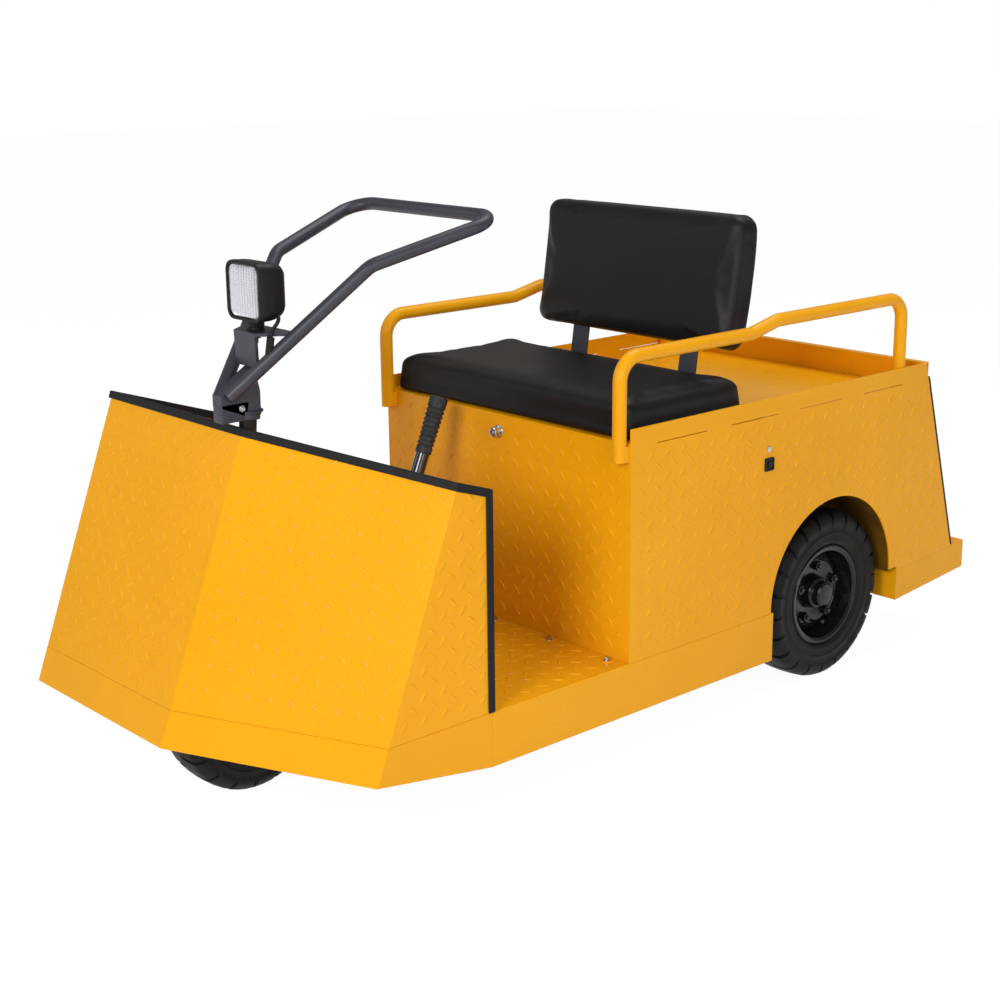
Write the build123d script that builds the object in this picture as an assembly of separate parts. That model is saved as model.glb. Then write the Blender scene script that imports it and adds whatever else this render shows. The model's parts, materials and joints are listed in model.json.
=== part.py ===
from build123d import *
import os
from math import cos, hypot, radians, sin, tan

os.makedirs("parts", exist_ok=True)

# A three-wheeled, tiller-steered baggage tug. Millimetres, +Z up, the ground at z = 0.
# Its front is towards -Y and its left side at +X.
# While it is modelled, x = 0 is the middle of the deck and y = 0 is the front of the seat box.

# Deck, sills and nose
DECK_WIDTH = 860.0
DECK_TOP = 200.0
PLATE = 4.0
SILL_PLATE = 4.0
SILL_DEPTH = 105.0
NOSE_DEPTH = 66.0
NOSE_Y = -759.0
BEVEL_WIDTH = 402.0
BEVEL_END_Y = -582.0
NOSE_LEAN = 20.6
RAKE_FRONT_Y = -602.0
SHIELD_REAR_Y = -348.0
FLANGE = 30.0
SEAM = 1.0

# Frame
RAIL_SECTION = (40.0, 60.0)
FRAME_FRONT_Y = -420.0
CROSS_FRONT_Y = -400.0
CROSS_SEAT_Y = 20.0
CROSS_TRAY = 15.0
CROSS_REAR = 84.0
RAIL_ROOM = 28.0
WHEEL_HOLE = 314.0
AXLE_NOTCH = 20.0

# Shield
SHIELD_TOP = 482.0
SHIELD_TOP_SLOPE = 0.335
TRIM_WIDTH = 12.0
TRIM_DEPTH = 10.0

# Body, its heights over the deck
SEAT_DECK = 429.0
WALL_RISE = 28.0
TRAY_SINK = 29.0
LEDGE_ROOM = 6.0
REAR_SLOPE = 136.0
SLOT_DROP = 36.0
TRAY_FRONT_Y = 385.0
BODY_BOTTOM_REAR_Y = 1064.0
LIP_DROP = 28.0
LIP_OUT = 10.0
SLOT_START_Y = 71.0
SLOT_LENGTH = 140.0
SLOT_HEIGHT = 3.5
SLOT_PITCH = 211.0
SLOT_COUNT = 4

# Rear wheels, arches and bumper
TYRE_DIAMETER = 370.0
TYRE_WIDTH = 112.0
TYRE_INSET = 20.0
RIM_DIAMETER = 206.0
ARCH_RADIUS = 204.0
ARCH_Y = 624.0
AXLE_BEHIND_ARCH = 12.0
SILL_GAP = 195.0
FLOOR_GAP = 13.0
MOTOR_ROOM = 16.0
BUMPER_REACH = 61.0
REAR_SILL_DEPTH = 72.0
BUMPER_END_DEPTH = 60.0
BUMPER_RISE = 12.0
ARCH_RISE = 6.0
ARCH_ROOM = 18.0
BUMPER_CORNER = 14.0
CLOSING_REACH = 130.0
AXLE_TUBE_DIAMETER = 60.0
AXLE_DIAMETER = 30.0
AXLE_COLLAR = 6.0
AXLE_NUT = 8.0
MOTOR_DIAMETER = 170.0
MOTOR_LENGTH = 210.0
MOTOR_X = 60.0
MOTOR_GAP = 4.0
GEARBOX = (70.0, 80.0)
RIM_WALL = 5.0
RIM_DISC = 10.0
RIM_WIDTH_RATIO = 0.8
RIM_DISC_OUT = 0.14
HUB_REACH = 0.34
HUB_WALL = 17.0
SHOULDER_RATIO = 0.16
FIT_CLEARANCE = 0.05

# Front wheel and steering
FRONT_AXLE_Y = -590.0
FRONT_TYRE_DIAMETER = 300.0
FRONT_TYRE_WIDTH = 100.0
FRONT_RIM_DIAMETER = 160.0
STEER_RAKE = 4.6
COLUMN_DIAMETER = 32.0
FRONT_AXLE_DIAMETER = 20.0
FORK_GAP = 9.0
FORK_PLATE = 10.0
CROWN_GAP = 16.0
FORK_LEG = 44.0
CROWN_PLATE = 16.0
CROWN_DEPTH = 68.0
COLLAR = 12.0
COLLAR_WALL = 10.0
AXLE_END = 8.0
HEAD_LENGTH = 110.0
HEAD_WALL = 6.0
HEAD_WEB = 30.0
HEAD_WEB_DEPTH = 25.0
TYRE_ROOM = 25.0
HEAD_FOOT = (120.0, 8.0)
TILLER_FOOT = 548.0

# Tiller and lamp
TILLER_TUBE = 25.0
TILLER_BASE = (14.4, -593.0, 542.0)
TILLER_BEND = (144.0, -369.0, 766.0)
TILLER_GRIP = (217.0, -122.0, 837.0)
TILLER_RADIUS = 45.0
LAMP_SIZE = 106.0
LAMP_DEPTH = 70.0
LAMP_Y = -510.0
LAMP_Z = 724.0
LAMP_LENS = 90.0
BRACKET_PLATE = 6.0
BRACKET_SHEET = 66.0
LAMP_STEM = 18.0
LAMP_MOUTH = 36.0
LENS_RECESS = 2.0
LENS_PLATE = 4.0
LENS_CORNER = 0.15
LAMP_CORNER = 0.17
LAMP_BACK_ROUND = 0.14
LAMP_STEM_RADIUS = 15.0
LAMP_STEM_FORWARD = 10.0
SHELF_FRONT = 36.0
LEAD_DIAMETER = 7.0
LEAD_SLEEVE = 14.0
SLEEVE_START = 0.2
LEAD_ROUTE = (
    (34.0, -498.0, 690.0),
    (64.0, -513.0, 676.0),
    (57.0, -526.0, 658.0),
    (50.0, -531.0, 602.0),
)
LEAD_TURN_SHARE = 0.45
BRACKET_FALL = 62.0
FOOT_DIAMETER = 44.0
FOOT_HEIGHT = 14.0
FOOT_WEB = ((-16.0, -18.0), (-16.0, 4.0), (56.0, 48.0), (66.0, 4.0), (66.0, -40.0), (38.0, -40.0))

# Seat and rails
CUSHION_SIDE = 14.0
CUSHION_DEPTH = 340.0
CUSHION_HEIGHT = 72.0
CUSHION_FRONT_Y = 4.0
CUSHION_ROUND = 20.0
BACK_WIDTH = 566.0
BACK_HEIGHT = 262.0
BACK_THICKNESS = 62.0
BACK_GAP = 116.0
BACK_Y = 352.0
BACK_RECLINE = 8.5
BACK_ROUND = 14.0
BACK_CORNER = 32.0
BRACKET_SPACING = 316.0
BRACKET_WIDTH = 44.0
BRACKET_BAR = 8.0
RAIL_TUBE = 27.0
RAIL_OVER_SEAT = 160.0
RAIL_STEP = 18.0
RAIL_END = 78.0
RAIL_JOG_Y = 352.0
RAIL_JOG_LENGTH = 80.0
RAIL_BEND = 46.0
RAIL_FOOT = 34.0
RAIL_GAP = 0.5

# Controls, battery and hitch
LEVER_X = -30.0
LEVER_FOOT = (-259.0, 24.0)
LEVER_TOP = (-72.0, 464.0)
LEVER_ROD = 16.0
LEVER_BASE = (36.0, 72.0)
GRIP_DIAMETER = 30.0
GRIP_LENGTH = 124.0
PEDAL_FRONT_Y = -430.0
PEDAL_REAR_Y = -330.0
PEDAL_RISE = 74.0
PEDAL_TOP = 6.0
PEDAL_HEEL = 12.0
ACCELERATOR = (240.0, 90.0)
BRAKE = (100.0, 110.0)
BATTERY = (560.0, 300.0, 280.0)
BATTERY_Y = 50.0
HITCH_BORE = 21.0
HITCH_GAP = 32.0
HITCH_REACH = 70.0
HITCH_WIDTH = 70.0
HITCH_PIN = 42.0
HITCH_TONGUE = 10.0
HITCH_BACK = 8.0
HITCH_ROUND = 24.0
REAR_TRIM = 7.0
REAR_TRIM_WIDTH = 10.0

# Places worked out from the sizes above
HALF = DECK_WIDTH / 2
BODY_LEFT = HALF
BODY_RIGHT = -HALF + TYRE_INSET + TYRE_WIDTH + LEDGE_ROOM
BODY_WIDTH = BODY_LEFT - BODY_RIGHT
BODY_MID = (BODY_LEFT + BODY_RIGHT) / 2
LEAN = tan(radians(NOSE_LEAN))
FOLD_X = HALF - BEVEL_WIDTH
BODY_TOP = SEAT_DECK + WALL_RISE
TRAY_FLOOR = SEAT_DECK - TRAY_SINK
SLOT_Z = BODY_TOP - SLOT_DROP
BODY_TOP_REAR_Y = BODY_BOTTOM_REAR_Y - REAR_SLOPE
BUMPER_Y = BODY_BOTTOM_REAR_Y + BUMPER_REACH
REAR_AXLE_Y = ARCH_Y + AXLE_BEHIND_ARCH
SILL_END_Y = ARCH_Y - SILL_GAP
MOTOR_Y = REAR_AXLE_Y + AXLE_TUBE_DIAMETER / 2 + MOTOR_DIAMETER / 2 + MOTOR_GAP
REAR_SILL_Y = MOTOR_Y + MOTOR_DIAMETER / 2 + MOTOR_ROOM
FLOOR_END_Y = SILL_END_Y - FLOOR_GAP
CUSHION_WIDTH = BODY_WIDTH - 2 * CUSHION_SIDE
CUSHION_TOP = SEAT_DECK + CUSHION_HEIGHT
BACK_BOTTOM = SEAT_DECK + BACK_GAP
RAIL_LOW = SEAT_DECK + RAIL_OVER_SEAT
RAIL_HIGH = RAIL_LOW + RAIL_STEP
RAIL_REAR_Y = BODY_TOP_REAR_Y - RAIL_END
SHIFT_Y = -(NOSE_Y - NOSE_DEPTH * LEAN + BUMPER_Y + HITCH_REACH) / 2
REAR_HUB_Z = TYRE_DIAMETER / 2
FRONT_HUB_Z = FRONT_TYRE_DIAMETER / 2
DECK = DECK_TOP
SEAT_Z = DECK + SEAT_DECK
TRAY_Z = DECK + TRAY_FLOOR
REAR_WHEEL_X = HALF - TYRE_INSET - TYRE_WIDTH / 2
RAIL_X = REAR_WHEEL_X - TYRE_WIDTH / 2 - RAIL_ROOM - RAIL_SECTION[0] / 2
CROSS_YS = (CROSS_FRONT_Y, CROSS_SEAT_Y, TRAY_FRONT_Y + CROSS_TRAY, BODY_BOTTOM_REAR_Y - CROSS_REAR)
CROWN = FRONT_TYRE_DIAMETER / 2 + CROWN_GAP
HEAD_START = CROWN + CROWN_PLATE + COLLAR
HEAD_END = HEAD_START + HEAD_LENGTH
SHIELD_REF_Y = NOSE_Y + LEAN * SHIELD_TOP
HITCH_Z = DECK + BUMPER_RISE - BUMPER_END_DEPTH / 2


def block(x0, x1, y0, y1, z0, z1):
    """A box between two corners."""
    middle = Pos((x0 + x1) / 2, (y0 + y1) / 2, (z0 + z1) / 2)
    return middle * Box(abs(x1 - x0), abs(y1 - y0), abs(z1 - z0))


def prism_x(points, x0, x1):
    """A (y, z) outline drawn out along X from x0 to x1."""
    outline = Plane.YZ.offset(x0) * make_face(Polyline(*points, close=True))
    return extrude(outline, amount=x1 - x0)


def prism_z(points, z0, z1):
    """An (x, y) outline drawn out upwards from z0 to z1."""
    outline = Plane.XY.offset(z0) * make_face(Polyline(*points, close=True))
    return extrude(outline, amount=z1 - z0)


def rod(a, b, diameter):
    """A round bar from point a to point b."""
    a, b = Vector(*a), Vector(*b)
    axis = b - a
    return extrude(Plane(origin=a, z_dir=axis) * Circle(diameter / 2), amount=axis.length)


def disc_x(diameter, x0, x1, y, z):
    """A round disc about an axis along X."""
    return extrude(Plane.YZ.offset(x0) * Pos(y, z) * Circle(diameter / 2), amount=x1 - x0)


def add(name, solid):
    """Moves a piece to the part's own frame and writes it."""
    export_step(Pos(0, SHIFT_Y, 0) * solid, "parts/" + name + ".step")


def nose_planes(inset):
    """The flat front's plane and the left bevel's plane, moved inwards by inset."""
    flat = Vector(0, -1, LEAN).normalized()
    along = Vector(HALF - FOLD_X, BEVEL_END_Y - NOSE_Y, 0)
    up = Vector(0, LEAN, 1)
    bevel = up.cross(along).normalized()
    if bevel.Y > 0:
        bevel = bevel * -1
    fold = Vector(FOLD_X, NOSE_Y, DECK)
    return [Plane(origin=fold - n * inset, z_dir=n) for n in (flat, bevel)]


def behind_nose(solid, inset):
    """What is left of a solid behind the two front planes."""
    for plane in nose_planes(inset):
        solid = split(solid, bisect_by=plane, keep=Keep.BOTTOM)
    return solid


# Floor, frame and sills
def floor_plate():
    """One plate from the nose back to the wheel arches, with a round hole that the front wheel turns in."""
    plate = block(-HALF + SILL_PLATE, HALF - SILL_PLATE, NOSE_Y, FLOOR_END_Y, DECK - PLATE, DECK)
    plate = behind_nose(plate, SILL_PLATE)
    hole_y = FRONT_AXLE_Y + (DECK - FRONT_HUB_Z) * tan(radians(STEER_RAKE))
    return plate - Pos(0, hole_y, DECK) * Cylinder(WHEEL_HOLE / 2, 4 * PLATE)


def chassis_frame():
    """Two rails and four crossmembers; a raised block on each rail holds the axle tube."""
    w, h = RAIL_SECTION
    top = DECK - PLATE
    frame = None
    for side in (-1, 1):
        x0, x1 = side * RAIL_X - w / 2, side * RAIL_X + w / 2
        rail = block(x0, x1, FRAME_FRONT_Y, BODY_BOTTOM_REAR_Y - w, top - h, top)
        d = AXLE_TUBE_DIAMETER
        saddle = block(x0, x1, REAR_AXLE_Y - d, REAR_AXLE_Y + d, top - 1, top + h)
        frame = rail + saddle if frame is None else frame + rail + saddle
    for y in CROSS_YS:
        reach = RAIL_X if y > SILL_END_Y else HALF - SILL_PLATE
        frame = frame + block(-reach, reach, y - w / 2, y + w / 2, top - h, top)
    return frame - disc_x(AXLE_TUBE_DIAMETER, -HALF, HALF, REAR_AXLE_Y, REAR_HUB_Z)


def nose_sill():
    """The apron under the nose, a shell that follows the front planes and deepens rearwards."""
    outline = [
        (NOSE_Y - NOSE_DEPTH, DECK - NOSE_DEPTH),
        (RAKE_FRONT_Y, DECK - NOSE_DEPTH),
        (SHIELD_REAR_Y, DECK - SILL_DEPTH),
        (SHIELD_REAR_Y, DECK),
        (NOSE_Y - NOSE_DEPTH, DECK),
    ]
    outer = behind_nose(prism_x(outline, -HALF, HALF), 0)
    inside = HALF - SILL_PLATE
    inner = block(-inside, inside, NOSE_Y - NOSE_DEPTH, SHIELD_REAR_Y + 1, 0, DECK + 1)
    return outer - behind_nose(inner, SILL_PLATE)


def side_sill(side):
    """The edge plate along the footwell and seat box, with a flange turned inwards at its foot."""
    low = DECK - SILL_DEPTH
    inner = side * (HALF - SILL_PLATE)
    face = block(side * HALF, inner, SHIELD_REAR_Y, SILL_END_Y, low, DECK)
    return face + block(inner, side * (HALF - FLANGE), SHIELD_REAR_Y, SILL_END_Y, low, low + SILL_PLATE)


def bumper_top(y):
    """How far the rear bumper's sloped top lies over the deck at y."""
    return BUMPER_RISE * (y - REAR_SILL_Y) / (BUMPER_Y - REAR_SILL_Y)


def rear_bumper():
    """A shell behind the wheels with a closed front end, its top sloping up to the bumper's face."""
    top = [(REAR_SILL_Y, DECK), (BUMPER_Y, DECK + BUMPER_RISE)]
    bottom = [(REAR_SILL_Y, DECK - REAR_SILL_DEPTH), (BUMPER_Y, DECK + BUMPER_RISE - BUMPER_END_DEPTH)]
    outline = bottom + top[::-1]
    outer = prism_x(outline, -HALF, HALF)
    upright = outer.edges().filter_by(Axis.Z).sort_by(Axis.Y)[-2:]
    outer = fillet(upright, BUMPER_CORNER)
    inside_y = BUMPER_Y - SILL_PLATE
    hollow = [
        (REAR_SILL_Y - 1, 0),
        (inside_y, 0),
        (inside_y, DECK + bumper_top(inside_y) - SILL_PLATE),
        (REAR_SILL_Y - 1, DECK - SILL_PLATE),
    ]
    shell = outer - prism_x(hollow, -HALF + SILL_PLATE, HALF - SILL_PLATE)
    low = DECK - REAR_SILL_DEPTH
    closing = block(-HALF, HALF, REAR_SILL_Y, REAR_SILL_Y + SILL_PLATE, low, DECK - SILL_PLATE)
    middle = block(-HALF + CLOSING_REACH, HALF - CLOSING_REACH, 0, BUMPER_Y, 0, DECK)
    return shell + (closing - middle)


# Shield
def shield_top_plane(lift):
    """The plane that cuts the shield's top, falling rearwards, moved up by lift."""
    up = Vector(0, SHIELD_TOP_SLOPE, 1).normalized()
    return Plane(origin=Vector(0, SHIELD_REF_Y, DECK + SHIELD_TOP) + up * lift, z_dir=up)


def nose_box(inset, rear, low):
    """A tall box over the nose, inset from the deck's sides and the two front planes, back to y = rear."""
    box = block(-HALF + inset, HALF - inset, NOSE_Y - NOSE_DEPTH, rear, low, DECK + 1.2 * SHIELD_TOP)
    return behind_nose(box, inset)


def shield():
    """The folded sheet round the driver's legs: a flat front, a bevel on the left and two sides."""
    walls = nose_box(0, SHIELD_REAR_Y, DECK) - nose_box(PLATE, SHIELD_REAR_Y + 1, DECK - 1)
    return split(walls, bisect_by=shield_top_plane(0), keep=Keep.BOTTOM)


def shield_trim():
    """A rubber edge that sits over the shield's top and down its two rear edges."""
    grow = (TRIM_WIDTH - PLATE) / 2
    band = nose_box(-grow, SHIELD_REAR_Y + TRIM_DEPTH / 2, DECK + SEAM)
    band = band - nose_box(PLATE + grow, 0, DECK - 1)
    band = split(band, bisect_by=shield_top_plane(TRIM_DEPTH / 2), keep=Keep.BOTTOM)
    walls = nose_box(-grow - 1, SHIELD_REAR_Y - TRIM_DEPTH, DECK - 1)
    walls = split(walls, bisect_by=shield_top_plane(-TRIM_DEPTH), keep=Keep.BOTTOM)
    return band - walls - shield()


# Body
def rear_y(z):
    """The body's rear edge at a height over the deck."""
    z0 = bumper_top(BODY_BOTTOM_REAR_Y)
    return BODY_BOTTOM_REAR_Y - (BODY_BOTTOM_REAR_Y - BODY_TOP_REAR_Y) * (z - z0) / (BODY_TOP - z0)


def wall_outline():
    """The body's side outline in (y, z)."""
    return [
        (0, DECK),
        (REAR_SILL_Y, DECK),
        (BODY_BOTTOM_REAR_Y, DECK + bumper_top(BODY_BOTTOM_REAR_Y)),
        (BODY_TOP_REAR_Y, DECK + BODY_TOP),
        (BODY_TOP - SEAT_DECK, DECK + BODY_TOP),
        (0, DECK + SEAT_DECK),
    ]


def slots(x):
    """The row of vent slots along the panel's top."""
    cut = []
    for i in range(SLOT_COUNT):
        y = SLOT_START_Y + i * SLOT_PITCH
        low = DECK + SLOT_Z - SLOT_HEIGHT / 2
        cut.append(block(x - FLANGE, x + FLANGE, y, y + SLOT_LENGTH, low, low + SLOT_HEIGHT))
    return cut


def arch_cut(x0, x1, radius):
    """The round space of a wheel arch."""
    return disc_x(2 * radius, x0, x1, ARCH_Y, DECK + ARCH_RISE)


def axle_notch():
    """The room round the axle tube where it passes the body's walls."""
    return disc_x(AXLE_TUBE_DIAMETER + AXLE_NOTCH, -HALF, HALF, REAR_AXLE_Y, REAR_HUB_Z)


def side_panel(side):
    """The body's side wall, with the arch on the left."""
    x_out = BODY_LEFT if side > 0 else BODY_RIGHT
    x_in = x_out - side * PLATE
    low, high = sorted((x_in, x_out))
    panel = prism_x(wall_outline(), low, high)
    for cut in slots(x_out):
        panel = panel - cut
    if side > 0:
        panel = panel - arch_cut(low - 1, high + 1, ARCH_RADIUS)
        panel = panel - block(low - 1, high + 1, SILL_END_Y, REAR_SILL_Y, 0, DECK + ARCH_RISE)
    return panel - axle_notch()


def seat_box_front():
    """The seat box's front wall."""
    return block(BODY_RIGHT + PLATE, BODY_LEFT - PLATE, 0, PLATE, DECK, DECK + SEAT_DECK - PLATE)


def rear_panel():
    """The sloped rear wall below the tray."""
    z0, z1 = bumper_top(BODY_BOTTOM_REAR_Y), TRAY_FLOOR - PLATE
    low, high = (rear_y(z0), DECK + z0), (rear_y(z1), DECK + z1)
    points = [(low[0] - PLATE, low[1]), low, high, (high[0] - PLATE, high[1])]
    return prism_x(points, BODY_RIGHT + PLATE, BODY_LEFT - PLATE)


def top_tray():
    """Seat deck, step and tray floor with the rear wall and its folded lip, one sheet."""
    x0, x1 = BODY_RIGHT + PLATE, BODY_LEFT - PLATE
    top_z = DECK + BODY_TOP
    rear_top = rear_y(BODY_TOP)
    rear_floor = rear_y(TRAY_FLOOR)
    lip_y = rear_top + LIP_OUT
    points = [
        (0, SEAT_Z),
        (0, SEAT_Z - PLATE),
        (TRAY_FRONT_Y - PLATE, SEAT_Z - PLATE),
        (TRAY_FRONT_Y - PLATE, TRAY_Z - PLATE),
        (rear_floor, TRAY_Z - PLATE),
        (rear_y(BODY_TOP - PLATE), top_z - PLATE),
        (lip_y, top_z - PLATE),
        (lip_y, top_z - LIP_DROP),
        (lip_y + PLATE, top_z - LIP_DROP),
        (lip_y + PLATE, top_z),
        (rear_top - PLATE, top_z),
        (rear_floor - PLATE, TRAY_Z),
        (TRAY_FRONT_Y, TRAY_Z),
        (TRAY_FRONT_Y, SEAT_Z),
    ]
    return prism_x(points, x0, x1)


def wheel_arch():
    """The painted inner arch over the left rear wheel, a half barrel with an inner wall."""
    x1 = BODY_LEFT - PLATE
    x0 = x1 - TYRE_WIDTH - TYRE_INSET - ARCH_ROOM
    outer = arch_cut(x0, x1, ARCH_RADIUS + PLATE)
    inner = arch_cut(x0 + PLATE, x1 + 1, ARCH_RADIUS)
    low = block(x0 - 1, x1 + 2, 0, BUMPER_Y, -DECK, DECK)
    return outer - inner - low - axle_notch()


def right_fender():
    """The fender over the right rear wheel, beside the body: a half barrel, open outwards."""
    x1 = BODY_RIGHT
    outer = arch_cut(-HALF, x1, ARCH_RADIUS + PLATE)
    inner = arch_cut(-HALF - 1, x1 + 1, ARCH_RADIUS)
    low = block(-HALF - 2, x1 + 2, 0, BUMPER_Y, -DECK, DECK)
    return outer - inner - low


# Wheels
def tyre(diameter, width, rim, x, y, z):
    """A tyre with rounded shoulders and the rim's seat through it."""
    body = disc_x(diameter, x - width / 2, x + width / 2, y, z)
    body = fillet(body.edges().filter_by(GeomType.CIRCLE), width * SHOULDER_RATIO)
    return body - disc_x(rim, x - width, x + width, y, z)


def rim(diameter, tyre_width, bore, x, y, z, out):
    """A pressed steel rim: barrel, dished disc and hub, with a bore for its axle."""
    width = tyre_width * RIM_WIDTH_RATIO
    barrel = disc_x(diameter, x - width / 2, x + width / 2, y, z)
    barrel = barrel - disc_x(diameter - 2 * RIM_WALL, x - width, x + width, y, z)
    at = x + out * width * RIM_DISC_OUT
    disc = disc_x(diameter - RIM_WALL, at - RIM_DISC / 2, at + RIM_DISC / 2, y, z)
    hub = disc_x(bore + 2 * HUB_WALL, x - width * HUB_REACH, x + width * HUB_REACH, y, z)
    return (barrel + disc + hub) - disc_x(bore + 2 * FIT_CLEARANCE, x - width, x + width, y, z)


def rear_axle():
    """The axle housing between the wheels with its two stub shafts, each with a shoulder and an end nut."""
    inner = REAR_WHEEL_X - TYRE_WIDTH / 2 - 2 * AXLE_COLLAR
    shoulder = REAR_WHEEL_X - TYRE_WIDTH * HUB_REACH - 1
    nut = REAR_WHEEL_X + TYRE_WIDTH * HUB_REACH + 1
    y, z = REAR_AXLE_Y, REAR_HUB_Z
    housing = disc_x(AXLE_TUBE_DIAMETER, -inner, inner, y, z)
    for side in (-1, 1):
        for diameter, start, end in (
            (AXLE_DIAMETER, inner - AXLE_COLLAR, nut + 1),
            (AXLE_DIAMETER + 2 * AXLE_COLLAR, inner - AXLE_COLLAR, shoulder),
            (AXLE_DIAMETER + 2 * AXLE_COLLAR, nut, nut + AXLE_NUT),
        ):
            low, high = sorted((side * start, side * end))
            housing = housing + disc_x(diameter, low, high, y, z)
    return housing


def drive_unit():
    """The motor and gearbox, a plain barrel behind the axle with a nose round the axle tube."""
    w, h = GEARBOX
    y = MOTOR_Y
    z = REAR_HUB_Z
    barrel = disc_x(MOTOR_DIAMETER, MOTOR_X - MOTOR_LENGTH / 2, MOTOR_X + MOTOR_LENGTH / 2, y, z)
    nose = block(MOTOR_X - w / 2, MOTOR_X + w / 2, REAR_AXLE_Y, y, z - h / 2, z + h / 2)
    return barrel + nose - disc_x(AXLE_TUBE_DIAMETER, -HALF, HALF, REAR_AXLE_Y, REAR_HUB_Z)


# Steering. The steering axis leans back and passes through the front wheel's middle.
def on_axis(distance):
    """The point on the steering axis at a distance up from the wheel's middle."""
    a = radians(STEER_RAKE)
    return (0, FRONT_AXLE_Y + distance * sin(a), FRONT_HUB_Z + distance * cos(a))


def tilted(solid):
    """Turns a piece built on the upright axis over the wheel's middle back to the steering axis."""
    return Pos(0, FRONT_AXLE_Y, FRONT_HUB_Z) * Rot(-STEER_RAKE, 0, 0) * solid


def steering_fork():
    """The fork with its axle pin, crown, thrust collar and the column up to the tiller."""
    half = FRONT_TYRE_WIDTH / 2 + FORK_GAP
    outside = half + FORK_PLATE
    top = CROWN + CROWN_PLATE
    fork = block(-outside, outside, -CROWN_DEPTH / 2, CROWN_DEPTH / 2, CROWN, top)
    for side in (-1, 1):
        fork = fork + block(side * half, side * outside, -FORK_LEG / 2, FORK_LEG / 2, -FORK_LEG / 2, top)
    axle = disc_x(FRONT_AXLE_DIAMETER, -outside - AXLE_END, outside + AXLE_END, 0, 0)
    collar = Pos(0, 0, top + COLLAR / 2) * Cylinder(COLUMN_DIAMETER / 2 + COLLAR_WALL, COLLAR)
    column = Pos(0, 0, (CROWN + TILLER_FOOT) / 2) * Cylinder(COLUMN_DIAMETER / 2, TILLER_FOOT - CROWN)
    return tilted(fork + axle + collar + column)


def steering_head():
    """The head tube that the column turns in, with its web and foot on the frame's front crossmember."""
    middle = (HEAD_START + HEAD_END) / 2
    tube = Pos(0, 0, middle) * Cylinder(COLUMN_DIAMETER / 2 + HEAD_WALL, HEAD_LENGTH)
    bore = Pos(0, 0, middle) * Cylinder(COLUMN_DIAMETER / 2 + FIT_CLEARANCE, HEAD_LENGTH + COLLAR)
    width, thick = HEAD_FOOT
    low_y, low_z = on_axis(HEAD_START + COLLAR)[1:]
    high_y, high_z = on_axis(HEAD_END - COLLAR)[1:]
    front, rear = CROSS_FRONT_Y - RAIL_SECTION[0] / 2, CROSS_FRONT_Y + RAIL_SECTION[0] / 2
    over_tyre = FRONT_TYRE_DIAMETER + TYRE_ROOM
    outline = [
        (low_y + HEAD_WALL, low_z),
        (high_y + HEAD_WALL, high_z),
        (rear, over_tyre + HEAD_WEB_DEPTH),
        (rear, DECK),
        (front, DECK),
        (front, over_tyre),
    ]
    web = prism_x(outline, -HEAD_WEB / 2, HEAD_WEB / 2)
    foot = block(-width / 2, width / 2, front, rear, DECK, DECK + thick)
    return (tilted(tube) + web + foot) - tilted(bore)


def tiller_loop():
    """One bent tube: up the left side, across the front of the driver and down the right side."""
    left = [(x, y, DECK + z) for x, y, z in (TILLER_BASE, TILLER_BEND, TILLER_GRIP)]
    right = [(-x, y, z) for x, y, z in left[::-1]]
    path = FilletPolyline(*(left + right), radius=TILLER_RADIUS)
    section = Plane(origin=path @ 0, z_dir=path % 0) * Circle(TILLER_TUBE / 2)
    return sweep(section, path=path)


def leg_at(z):
    """The x and y of the left tiller tube's middle at a height over the deck."""
    k = (z - TILLER_BASE[2]) / (TILLER_BEND[2] - TILLER_BASE[2])
    return [a + k * (b - a) for a, b in zip(TILLER_BASE[:2], TILLER_BEND[:2])]


def tiller_foot():
    """The boss on the column's top and the web plate, both welded to the two tiller tubes."""
    bx, by, bz = TILLER_BASE
    boss = tilted(Pos(0, 0, TILLER_FOOT + FOOT_HEIGHT / 2) * Cylinder(FOOT_DIAMETER / 2, FOOT_HEIGHT))
    outline = [(by + y, DECK + bz + z) for y, z in FOOT_WEB]
    return boss + prism_x(outline, -bx, bx) - tiller_loop()


def lamp_bracket():
    """A shelf between the tiller tubes and a plate down from its front edge, in one bent sheet."""
    t = BRACKET_PLATE
    over_deck = LAMP_Z - LAMP_SIZE / 2 - LAMP_STEM
    tube_x, tube_y = leg_at(over_deck)
    shelf_z = DECK + over_deck
    w = BRACKET_SHEET / 2
    front = LAMP_Y - SHELF_FRONT
    corners = [(-w, front), (w, front), (tube_x, tube_y), (-tube_x, tube_y)]
    shelf = prism_z(corners, shelf_z - t, shelf_z)
    low_y, low_z = leg_at(over_deck - BRACKET_FALL)[1], shelf_z - BRACKET_FALL
    hanging = prism_x([(front, shelf_z), (front + t, shelf_z), (low_y + t, low_z), (low_y, low_z)], -w, w)
    return shelf + hanging - tiller_loop()


def lamp_housing():
    """A rounded square lamp body with a round-cornered mouth for the lens and a stem below."""
    s = LAMP_SIZE
    foot_z = DECK + LAMP_Z - s / 2 - LAMP_STEM
    body = Pos(0, LAMP_Y, DECK + LAMP_Z) * Box(s, LAMP_DEPTH, s)
    body = fillet(body.edges().filter_by(Axis.Y), s * LAMP_CORNER)
    body = fillet(body.faces().sort_by(Axis.Y)[-1].edges(), s * LAMP_BACK_ROUND)
    mouth = Pos(0, LAMP_Y - LAMP_DEPTH / 2, DECK + LAMP_Z) * Box(LAMP_LENS, 2 * LAMP_MOUTH, LAMP_LENS)
    mouth = fillet(mouth.edges().filter_by(Axis.Y), LAMP_LENS * LENS_CORNER)
    stem_y = LAMP_Y - LAMP_STEM_FORWARD
    stem = Pos(0, stem_y, foot_z + LAMP_STEM / 2) * Cylinder(LAMP_STEM_RADIUS, LAMP_STEM)
    return body + stem - mouth


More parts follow.
